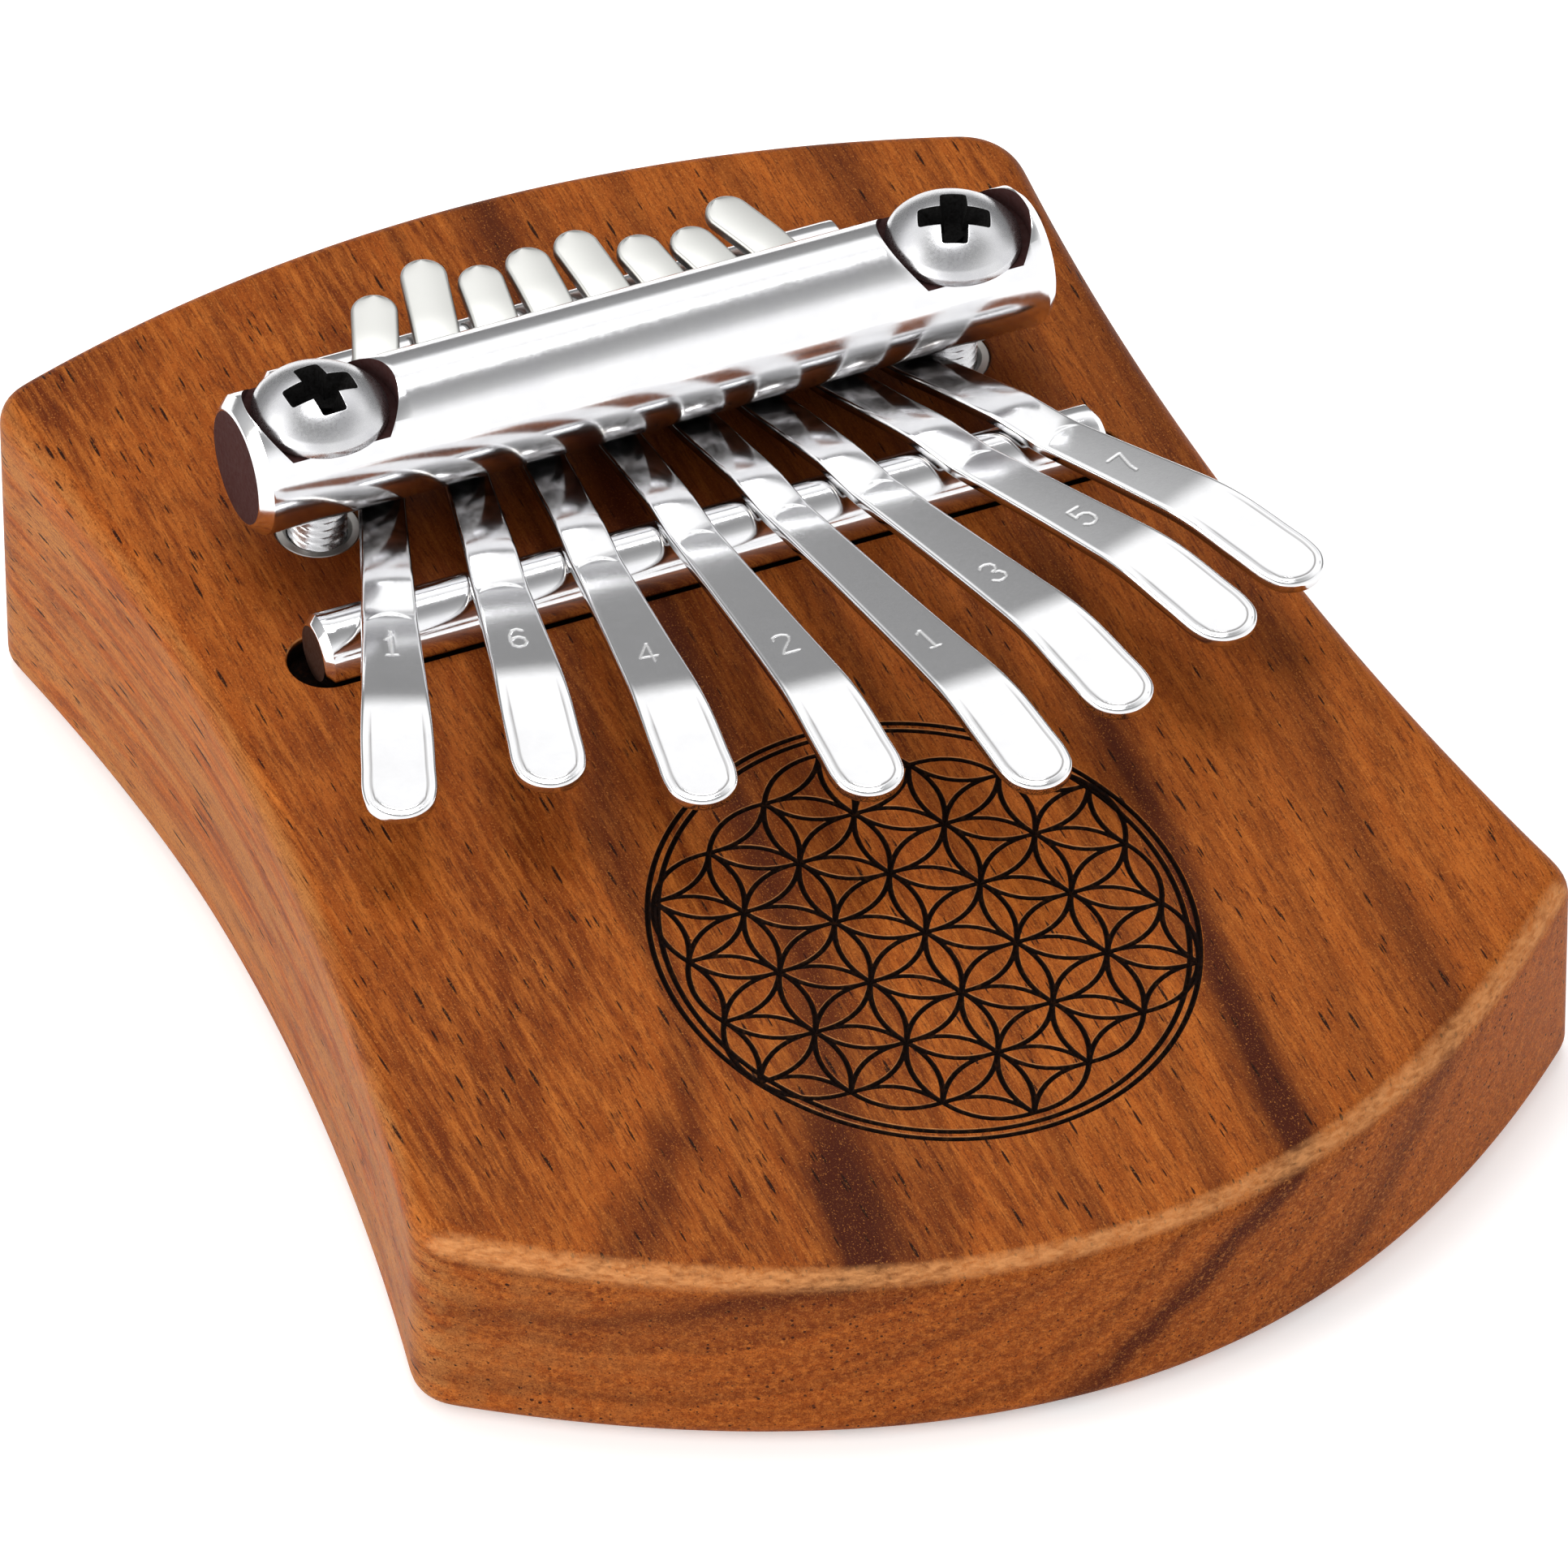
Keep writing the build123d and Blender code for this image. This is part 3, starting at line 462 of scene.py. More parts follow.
def build_body():
    n = len(OUT)
    rings, R, rb = [], 2.4, 1.6
    # bottom fillet, wall, top fillet; each ring is (offset inwards, height function)
    for k in range(0, 9):
        a = math.pi / 2 * k / 8
        rings.append((rb * (1 - math.sin(a)), lambda y, a=a: rb * (1 - math.cos(a))))
    levels = [0.25, 0.5, 0.75]
    for f in levels:
        rings.append((0.0, lambda y, f=f: rb + f * (deck_z(y) - R - rb)))
    for k in range(0, 13):
        a = math.pi / 2 * k / 12
        rings.append((R * (1 - math.cos(a)), lambda y, a=a: deck_z(y) - R * (1 - math.sin(a))))
    verts, faces = [], []
    ring_xy = []
    for off, hf in rings:
        xy = OUT - ONRM * off
        # the fillet rolls on the true deck height at the offset point
        verts.append(np.stack([xy[:, 0], xy[:, 1], np.array([hf(v) for v in xy[:, 1]])], 1))
        ring_xy.append(xy)
    for k in range(len(rings) - 1):
        for i in range(n):
            j = (i + 1) % n
            faces.append((k * n + i, k * n + j, (k + 1) * n + j, (k + 1) * n + i))
    verts = np.concatenate(verts)
    nv = len(verts)
    faces.append(tuple(range(n - 1, -1, -1)))            # underside
    # deck: planar triangulation in (X, Q)
    top = ring_xy[-1]
    Q = (top[:, 1] - ROS_Y) / CW
    pts = [tuple(v) for v in np.stack([top[:, 0], Q], 1)]
    edges = [(i, (i + 1) % n) for i in range(n)]
    loops = []
    for x0, q0, half in ((FROD_X, FROD_Q, FSLOT_HALF), (RROD_X, RROD_Q, RSLOT_HALF)):
        lp = []
        for sgn, cxx in ((1, x0 + half - SLOT_W), (-1, x0 - half + SLOT_W)):
            for t in np.linspace(-math.pi / 2, math.pi / 2, 17):
                lp.append((cxx + sgn * SLOT_W * math.cos(t), q0 + sgn * SLOT_W * math.sin(t)))
        loops.append((lp, SLOT_FLOOR))
    for sgn in (-1, 1):
        loops.append(([(BAR_X + sgn * SCREW_X + INS_HOLE * math.cos(t), BAR_Q + INS_HOLE * math.sin(t)) for t in np.linspace(0, 2 * math.pi, 64, endpoint=False)], -14.0))
    EASE = 0.12                                            # tiny broken edge round each pocket
    pocket = []
    for lp, fl in loops:
        a = np.array(lp)
        c = a.mean(0)
        t = np.roll(a, -1, 0) - np.roll(a, 1, 0)
        t /= np.linalg.norm(t, axis=1)[:, None]
        nr = np.stack([t[:, 1], -t[:, 0]], 1)
        if ((a - c) * nr).sum() < 0:
            nr = -nr
        outer = a + nr * EASE
        s0 = len(pts)
        pts += [tuple(v) for v in outer]
        edges += [(s0 + i, s0 + (i + 1) % len(a)) for i in range(len(a))]
        pocket.append((outer, a, fl))
    lines = rosette()
    sa, sb = [], []
    for l in lines:
        sa += list(l[:-1]); sb += list(l[1:])
        t = np.gradient(l, axis=0); t /= np.linalg.norm(t, axis=1)[:, None]
        nr = np.stack([-t[:, 1], t[:, 0]], 1)
        for o in (0.0, -GROOVE_HALF, GROOVE_HALF):
            q = l + nr * o
            s0 = len(pts)
            pts += [tuple(v) for v in q]
            edges += [(s0 + i, s0 + i + 1) for i in range(len(q) - 1)]
    cv, ce, cf, ov, oe, of_ = delaunay_2d_cdt([Vector(v) for v in pts], edges, [], 1, 1e-5)
    cv = np.array([tuple(v) for v in cv])
    dist = seg_distance(cv, np.array(sa), np.array(sb))
    # faces outside the outline are dropped by output type 1; those inside a pocket here
    tri = []
    pk = [(p[0], p[0].min(0), p[0].max(0)) for p in pocket]

    def inside(pt, poly):
        x, y = pt
        c = False
        j = len(poly) - 1
        for i in range(len(poly)):
            if (poly[i, 1] > y) != (poly[j, 1] > y) and x < (poly[j, 0] - poly[i, 0]) * (y - poly[i, 1]) / (poly[j, 1] - poly[i, 1]) + poly[i, 0]:
                c = not c
            j = i
        return c
    for f in cf:
        m = cv[list(f)].mean(0)
        if any((m > lo).all() and (m < hi).all() and inside(m, poly) for poly, lo, hi in pk):
            continue
        tri.append(f)
    h = -GROOVE_DEPTH * np.clip(1 - dist / GROOVE_HALF, 0, 1)
    dk = deck(np.stack([cv[:, 0], cv[:, 1], h], 1)) / MM
    burn_and_shade = np.concatenate([np.zeros(nv), np.clip(1.0 - dist / GROOVE_HALF, 0, 1)])
    verts = np.concatenate([verts, dk])
    faces += [tuple(nv + i for i in f) for f in tri]
    extra, eb = [], []
    for outer, inner, fl in pocket:
        b = len(verts) + len(extra)
        m = len(outer)
        stack = [(outer, 0.0), (inner, -EASE), (inner, fl / 2), (inner, fl)]
        for lv, (xy, hh) in enumerate(stack):
            extra += list(deck(np.stack([xy[:, 0], xy[:, 1], np.full(m, hh)], 1)) / MM)
            # pocket walls and floors darken with depth: partly scorched wood, partly painted shade
            eb += [(0.0, 0.10, 0.42, 0.6)[lv]] * m
        for k in range(3):
            for i in range(m):
                j = (i + 1) % m
                faces.append((b + k * m + i, b + k * m + j, b + (k + 1) * m + j, b + (k + 1) * m + i))
        faces.append(tuple(b + 3 * m + i for i in range(m)))
    verts = np.concatenate([verts, np.array(extra)])
    burn_and_shade = np.concatenate([burn_and_shade, np.array(eb)])
    me = bpy.data.meshes.new("wood_body")
    me.from_pydata([tuple(v) for v in verts * MM], [], faces)
    at = me.attributes.new("burn_and_shade", "FLOAT", "POINT")
    at.data.foreach_set("value", burn_and_shade.astype(np.float32))
    o = bpy.data.objects.new("wood_body", me)
    bpy.context.scene.collection.objects.link(o)
    me.materials.append(M_WOOD)
    b = bmesh.new()
    b.from_mesh(me)
    bmesh.ops.remove_doubles(b, verts=b.verts, dist=2e-6)
    bmesh.ops.recalc_face_normals(b, faces=b.faces)
    b.to_mesh(me)
    b.free()
    for p in me.polygons:
        p.use_smooth = True
    me.set_sharp_from_angle(angle=math.radians(22))
    me.update()
    return o


# ------------------------------------------------------------- round stock
def lathe(name, prof, axis, centre, material, seg=96, sharp=28):
    """prof is [(along, radius)...] in mm; axis 'x' or 'h' in deck coordinates."""
    v, f = [], []
    idx = []
    for a, r in prof:
        if r < 1e-6:
            idx.append([len(v)]); v.append((a, 0, 0))
        else:
            idx.append(list(range(len(v), len(v) + seg)))
            v += [(a, r * math.cos(2 * math.pi * k / seg), r * math.sin(2 * math.pi * k / seg)) for k in range(seg)]
    for A, B in zip(idx, idx[1:]):
        for k in range(seg):
            l = (k + 1) % seg
            if len(A) == 1:
                f.append((A[0], B[k], B[l]))
            elif len(B) == 1:
                f.append((A[k], A[l], B[0]))
            else:
                f.append((A[k], A[l], B[l], B[k]))
    v = np.array(v)
    if axis == "x":
        p = np.stack([centre[0] + v[:, 0], centre[1] + v[:, 1], centre[2] + v[:, 2]], 1)
    else:
        p = np.stack([centre[0] + v[:, 1], centre[1] + v[:, 2], centre[2] + v[:, 0]], 1)
    return make(name, deck(p), f, material, sharp=sharp)


def rounded_end(half, r, ch, soft=0.12, n=3):
    """Half profile of a chamfered round bar with softly broken chamfer corners."""
    prof = [(-half, 0.0), (-half, (r - ch) * 0.5), (-half, r - ch - soft)]
    prof += [(-half + soft * 0.29, r - ch - soft * 0.29 + 0.02), (-half + soft, r - ch + soft)]
    prof += [(-half + ch - soft, r - soft), (-half + ch - soft * 0.2, r - soft * 0.22), (-half + ch + soft, r)]
    mid = [(x, r) for x in np.linspace(-half + ch + 1.0, half - ch - 1.0, 40)]
    return prof + mid + [(-a, b) for a, b in reversed(prof)]


def boolean(target, cutter, op="DIFFERENCE"):
    md = target.modifiers.new("b", "BOOLEAN")
    md.operation = op
    md.solver = "EXACT"
    md.object = cutter
    dg = bpy.context.evaluated_depsgraph_get()
    new = bpy.data.meshes.new_from_object(target.evaluated_get(dg))
    target.modifiers.clear()
    target.data = new
    bpy.data.objects.remove(cutter)


def finish_mesh(o, sharp, bevel=0.0, weld=1e-6):
    b = bmesh.new()
    b.from_mesh(o.data)
    bmesh.ops.remove_doubles(b, verts=b.verts, dist=weld)
    b.to_mesh(o.data)
    b.free()
    for p in o.data.polygons:
        p.use_smooth = True
    if bevel:
        md = o.modifiers.new("bev", "BEVEL")
        md.width = bevel
        md.segments = 2
        md.limit_method = "ANGLE"
        md.angle_limit = math.radians(38)
        md.use_clamp_overlap = True
        md.harden_normals = False
        dg = bpy.context.evaluated_depsgraph_get()
        o.data = bpy.data.meshes.new_from_object(o.evaluated_get(dg))
        o.modifiers.clear()
        for p in o.data.polygons:
            p.use_smooth = True
    o.data.set_sharp_from_angle(angle=math.radians(sharp))


def paint_shade_faces(o, test):
    """Mark faces whose centre (deck X, Q, H in mm) passes the test for the painted shade colour."""
    me = o.data
    n = len(me.polygons)
    c = np.empty(n * 3); me.polygons.foreach_get("center", c)
    nn = np.empty(n * 3); me.polygons.foreach_get("normal", nn)
    c = c.reshape(-1, 3) / MM; nn = nn.reshape(-1, 3)
    uy, uz = c[:, 1] - ROS_Y, c[:, 2] - DECK_Z0
    d = np.stack([c[:, 0], uy * CW + uz * SW, -uy * SW + uz * CW], 1)
    dn = np.stack([nn[:, 0], nn[:, 1] * CW + nn[:, 2] * SW, -nn[:, 1] * SW + nn[:, 2] * CW], 1)
    v = test(d, dn).astype(np.float32)
    at = me.attributes.new("painted_shade", "FLOAT", "FACE")
    at.data.foreach_set("value", v)


def place(o, piece_name, node_name, body="base"):
    o.name = piece_name
    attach(o, body)
    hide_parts(node_name)
    return o


body = build_body()
place(body, "wood_body", "body_block")

front = lathe("front_rod_v", rounded_end(FROD_HALF, ROD_R, ROD_CH), "x", (FROD_X, FROD_Q, ROD_H), M_ROD)
# painted reflection: the rods' flat end faces are tinted dark brown like the wood they reflect
paint_shade_faces(front, lambda d, n: (np.abs(n[:, 0]) > 0.95) & (np.hypot(d[:, 1] - FROD_Q, d[:, 2] - ROD_H) < ROD_R - ROD_CH))
place(front, "front_rod_polished", "front_bridge_rod")
rear = lathe("rear_rod_v", rounded_end(RROD_HALF, ROD_R, ROD_CH), "x", (RROD_X, RROD_Q, ROD_H), M_ROD)
paint_shade_faces(rear, lambda d, n: (np.abs(n[:, 0]) > 0.95) & (np.hypot(d[:, 1] - RROD_Q, d[:, 2] - ROD_H) < ROD_R - ROD_CH))
place(rear, "rear_rod_polished", "rear_bridge_rod")

bar = lathe("bar_v", rounded_end(BAR_HALF, BAR_R, 1.0, 0.16), "x", (BAR_X, BAR_Q, BAR_H), M_BAR, seg=160)
for s in (-1, 1):
    c = lathe("cut", [(0, 0), (0, SEAT_R), (10, SEAT_R), (10, 0)], "h", (BAR_X + s * SCREW_X, BAR_Q, BAR_H + SEAT_ABOVE), M_BAR, seg=128)
    boolean(bar, c)
    c = lathe("cut", [(-15, 0), (-15, BAR_HOLE_R), (15, BAR_HOLE_R), (15, 0)], "h", (BAR_X + s * SCREW_X, BAR_Q, BAR_H), M_BAR, seg=64)
    boolean(bar, c)
finish_mesh(bar, 30, bevel=0.00010)


# painted reflection on the bar's end caps, painted shade in the screw seats and holes
def bar_shade_faces(d, n):
    out = (np.abs(n[:, 0]) > 0.95) & (np.abs(d[:, 0] - BAR_X) > BAR_HALF - 0.2)
    seat = BAR_H + SEAT_ABOVE
    for s in (-1, 1):
        rho = np.hypot(d[:, 0] - BAR_X - s * SCREW_X, d[:, 1] - BAR_Q)
        out |= (np.abs(rho - SEAT_R) < 0.05) & (np.abs(n[:, 2]) < 0.3) & (d[:, 2] > seat - 0.1)
        out |= (rho < SEAT_R) & (np.abs(d[:, 2] - seat) < 0.08) & (n[:, 2] > 0.9)
        out |= (rho < BAR_HOLE_R + 0.03) & (np.abs(n[:, 2]) < 0.3)
    return out


paint_shade_faces(bar, bar_shade_faces)
place(bar, "pressure_bar_polished", "pressure_bar")


def dome(rho):
    """Height of the head's dome at radius rho."""
    (x1, y1), (x2, y2), (x3, y3) = (HEAD_R - 0.08, HEAD_SIDE), (HEAD_R * 0.60, HEAD_SIDE + (HEAD_H - HEAD_SIDE) * 0.70), (0, HEAD_H)
    a = np.array([[2 * x1, 2 * y1, 1], [2 * x2, 2 * y2, 1], [2 * x3, 2 * y3, 1]], float)
    b = np.array([x1 * x1 + y1 * y1, x2 * x2 + y2 * y2, x3 * x3 + y3 * y3])
    cx, cy, k = np.linalg.solve(a, b)
    rr = math.sqrt(k + cx * cx + cy * cy)
    return cy + math.sqrt(max(rr * rr - (rho - cx) ** 2, 0))


def recess_arm(centre, turn, length_top, width_top, length_bot, width_bot, h0, h1):
    v, f = [], []
    n = 6
    def ring(l, w, h):
        pts = []
        rr = min(0.28, w * 0.4)
        for sx, sy, a0 in ((1, 1, 0), (-1, 1, 90), (-1, -1, 180), (1, -1, 270)):
            for k in range(n):
                t = math.radians(a0 + 90 * k / (n - 1))
                pts.append((sx * (l / 2 - rr) + rr * math.cos(t), sy * (w / 2 - rr) + rr * math.sin(t), h))
        return pts
    r0, r1 = ring(length_bot, width_bot, h0), ring(length_top, width_top, h1)
    m = len(r0)
    v = r0 + r1
    for i in range(m):
        j = (i + 1) % m
        f.append((i, j, m + j, m + i))
    f.append(tuple(range(m - 1, -1, -1)))
    f.append(tuple(m + i for i in range(m)))
    v = np.array(v)
    c, s = math.cos(math.radians(turn)), math.sin(math.radians(turn))
    p = np.stack([centre[0] + v[:, 0] * c - v[:, 1] * s, centre[1] + v[:, 0] * s + v[:, 1] * c, centre[2] + v[:, 2]], 1)
    return make("arm", deck(p), f, M_SCREW)


for side, nm in ((-1, "left"), (1, "right")):
    ctr = (BAR_X + side * SCREW_X, BAR_Q, BAR_H + SEAT_ABOVE + 0.02)
    prof = [(0, 0), (0, HEAD_R - 0.25)]
    prof += [(0.25 - 0.25 * math.cos(t), HEAD_R - 0.25 + 0.25 * math.sin(t)) for t in np.linspace(0.4, math.pi / 2, 4)]
    prof += [(HEAD_SIDE - 0.22, HEAD_R - 0.05), (HEAD_SIDE - 0.06, HEAD_R - 0.11), (HEAD_SIDE + 0.10, HEAD_R - 0.27)]
    prof += [(dome(rho), rho) for rho in np.linspace(HEAD_R - 0.45, 0.25, 30)] + [(HEAD_H, 0)]
    head = lathe("head", prof, "h", ctr, M_SCREW, seg=128)
    t = TURNS[side]
    for a in (0, 90):
        boolean(head, recess_arm(ctr, t + a, RECESS_SPAN * 1.06, RECESS_W * 1.12, RECESS_SPAN * 0.45, RECESS_W * 0.62, HEAD_H - RECESS_D, HEAD_H + 0.6))
    finish_mesh(head, 34, bevel=0.00010)
    # helical thread below the bar, plain neck above it
    seg, plain, z = 48, BAR_H, 0
    v, f = [], []
    rows = []
    zs = list(np.linspace(0.15, -plain, 6)) + list(np.arange(-plain - 0.1, -SHANK_LEN + 1.0, -PITCH / 8))
    for zz in zs:
        row = []
        for k in range(seg):
            th = 2 * math.pi * k / seg
            if zz < -plain:
                ph = (zz / PITCH + k / seg) % 1.0
                tri = abs(ph - 0.5) * 2
                rr = SHANK_R - THREAD_D * (1 - min(1, max(0, (tri - 0.08) / 0.84)))
            else:
                rr = SHANK_R
            row.append(len(v)); v.append((ctr[0] + rr * math.cos(th), ctr[1] + rr * math.sin(th), ctr[2] + zz))
        rows.append(row)
    row = []
    for k in range(seg):
        th = 2 * math.pi * k / seg
        row.append(len(v)); v.append((ctr[0] + (SHANK_R - 1) * math.cos(th), ctr[1] + (SHANK_R - 1) * math.sin(th), ctr[2] - SHANK_LEN))
    rows.append(row)
    for A, B in zip(rows, rows[1:]):
        for k in range(seg):
            l = (k + 1) % seg
            f.append((A[k], A[l], B[l], B[k]))
    f.append(tuple(rows[0])); f.append(tuple(reversed(rows[-1])))
    shank = make("shank", deck(v), f, M_SCREW, sharp=50)
    # one piece: join the shank into the head's mesh
    b = bmesh.new()
    b.from_mesh(head.data)
    b.from_mesh(shank.data)
    b.to_mesh(head.data)
    b.free()
    bpy.data.objects.remove(shank)
    for p in head.data.polygons:
        p.use_smooth = True
    head.data.set_sharp_from_angle(angle=math.radians(34))
    # painted shade darkens the cross recess; the dome and the thread stay bright

    def recess_shade_faces(d, n, ctr=ctr):
        rho = np.hypot(d[:, 0] - ctr[0], d[:, 1] - ctr[1])
        top_h = np.array([dome(min(r_, HEAD_R - 0.1)) for r_ in rho])
        return (d[:, 2] - ctr[2] > 0.3) & (rho < HEAD_R - 0.5) & (top_h - (d[:, 2] - ctr[2]) > 0.16)
    paint_shade_faces(head, recess_shade_faces)
    place(head, nm + "_screw_finished", nm + "_clamp_screw")
    # insert sleeve
    c = (BAR_X + side * SCREW_X, BAR_Q, INS_TOP)
    pr = [(-0.35, INS_BORE), (-0.05, INS_BORE + 0.30), (0.0, INS_BORE + 0.38), (0.0, INS_R - 0.12), (-0.12, INS_R), (-1.0, INS_R)]
    z = -1.0
    while z - 1.6 > -INS_LEN + 0.6:
        pr += [(z - 0.5, INS_R - 0.45), (z - 0.8, INS_R - 0.45), (z - 1.3, INS_R), (z - 1.6, INS_R)]
        z -= 1.6
    pr += [(-INS_LEN, INS_R - 0.5), (-INS_LEN, INS_BORE), (-0.35, INS_BORE)]
    ins = lathe("ins", pr, "h", c, M_INS, seg=64)
    finish_mesh(ins, 30)
    place(ins, nm + "_insert_finished", nm + "_threaded_insert")


# ------------------------------------------------------------- tines
def tine_path(spec):
    xa, qtail, xt, qt = spec
    slope = (xt - xa) / (qt - qtail)
    x0 = xa + slope * (FROD_Q - qtail)
    c = 1 / math.sqrt(1 + slope * slope)
    t_tip, t_tail = (FROD_Q - qt) / c, -(qtail - FROD_Q) / c
    reach = ROD_R + ROD_CLEAR + TINE_T / 2
    valley = BAR_H - BAR_R - BAR_CLEAR - TINE_T / 2
    tb, tr = -(BAR_Q - FROD_Q) / c, -(RROD_Q - FROD_Q) / c
    h0 = ROD_H + reach / math.cos(REST_SLOPE)
    lean = math.radians(8.0)
    m1 = (tr + reach * math.sin(lean), ROD_H + reach * math.cos(lean) + 0.20)
    m3 = (REST_T, h0 + math.tan(REST_SLOPE) * REST_T)
    m4 = (KINK_T, h0 + math.tan(REST_SLOPE) * KINK_T)
    r2, v = 16.0, valley
    for _ in range(30):
        a = math.atan2(m3[1] - v, m3[0] - tb); b = math.atan2(m1[1] - v, tb - m1[0])
        v = valley - r2 * (1 / math.cos((a + b) / 2) - 1)
    m5 = (t_tip - TIP_LEN, m4[1] + math.tan(PLATEAU) * (t_tip - TIP_LEN - KINK_T))
    m6 = (t_tip + 1.0, m5[1] - (TIP_LEN + 1.0) * math.tan(TIP_SLOPE))
    m0 = (t_tail - 1.0, m1[1] + math.tan(TAIL_SLOPE) * (m1[0] - t_tail + 1.0))
    verts, radii = [m0, m1, (tb, v), m3, m4, m5, m6], [0, 22.0, r2, 12.0, 12.0, 24.0, 0]
    # dense polyline of the mid surface as height and slope against t
    T, H = [verts[0][0]], [verts[0][1]]
    for i in range(1, len(verts) - 1):
        p, q, r = np.array(verts[i - 1]), np.array(verts[i]), np.array(verts[i + 1])
        a = (q - p) / np.linalg.norm(q - p); b = (r - q) / np.linalg.norm(r - q)
        turn = math.asin(a[0] * b[1] - a[1] * b[0])
        tl = radii[i] * math.tan(abs(turn) / 2)
        s = 1 if turn > 0 else -1
        cen = q - a * tl + np.array([-a[1], a[0]]) * radii[i] * s
        a0 = math.atan2(*((q - a * tl) - cen)[::-1])
        for f in np.linspace(0, 1, 25):
            ang = a0 + turn * f
            T.append(cen[0] + radii[i] * math.cos(ang)); H.append(cen[1] + radii[i] * math.sin(ang))
    T.append(verts[-1][0]); H.append(verts[-1][1])
    T, H = np.array(T), np.array(H)
    o = np.argsort(T)
    T, H = T[o], H[o]
    keep = np.r_[True, np.diff(T) > 1e-6]
    T, H = T[keep], H[keep]
    return x0, slope, c, t_tail, t_tip, T, H


RIM = 0.80                                               # crease inside the blade's rim
STROKES = {
    "1": [[(-0.05, 1.0), (0.0, 1.0), (0.0, -1.0)], [(-0.35, 0.72), (0.0, 1.0)], [(-0.36, -1.0), (0.36, -1.0)]],
    "2": [[(-0.55, 0.55), (-0.46, 0.85), (-0.18, 1.0), (0.18, 1.0), (0.46, 0.83), (0.54, 0.55), (0.42, 0.22), (0.1, -0.15), (-0.3, -0.6), (-0.56, -1.0), (0.58, -1.0)]],
    "3": [[(-0.5, 0.72), (-0.28, 0.94), (0.05, 1.0), (0.38, 0.86), (0.48, 0.55), (0.34, 0.2), (0.0, 0.06)], [(0.0, 0.06), (0.38, -0.1), (0.54, -0.48), (0.4, -0.86), (0.05, -1.0), (-0.3, -0.94), (-0.54, -0.7)]],
    "4": [[(0.25, -1.0), (0.25, 1.0), (-0.6, -0.42), (0.6, -0.42)]],
    "5": [[(0.5, 1.0), (-0.38, 1.0), (-0.46, 0.14), (-0.1, 0.3), (0.25, 0.26), (0.52, -0.02), (0.54, -0.45), (0.36, -0.85), (0.0, -1.0), (-0.34, -0.92), (-0.54, -0.68)]],
    "6": [[(0.42, 0.8), (0.1, 1.0), (-0.24, 0.88), (-0.48, 0.4), (-0.54, -0.2), (-0.42, -0.76), (-0.08, -1.0), (0.3, -0.9), (0.52, -0.5), (0.42, -0.08), (0.08, 0.14), (-0.28, 0.04), (-0.5, -0.3)]],
    "7": [[(-0.55, 1.0), (0.55, 1.0), (0.2, 0.2), (-0.05, -0.4), (-0.16, -1.0)]],
}


def digit_lines(text, u0, height=2.7):
    """Stroke polylines in tine coordinates (t, y); the digit's top points to the tail."""
    out = []
    k = height / 2
    for ch in text:
        if ch == ".":                                     # a dot over the digit marks the upper octave
            out.append(np.array([(u0 - 1.5 * k - 0.05, 0.0), (u0 - 1.5 * k + 0.05, 0.0)]))
            continue
        for st in STROKES[ch]:
            out.append(np.array([(u0 - b * k, a * k * 0.92) for a, b in st]))
    return out


DIGIT_T = [7.5, 10.9, 17.6, 21.3, 26.1, 19.9, 16.25, 10.5]      # where each digit sits along its tine


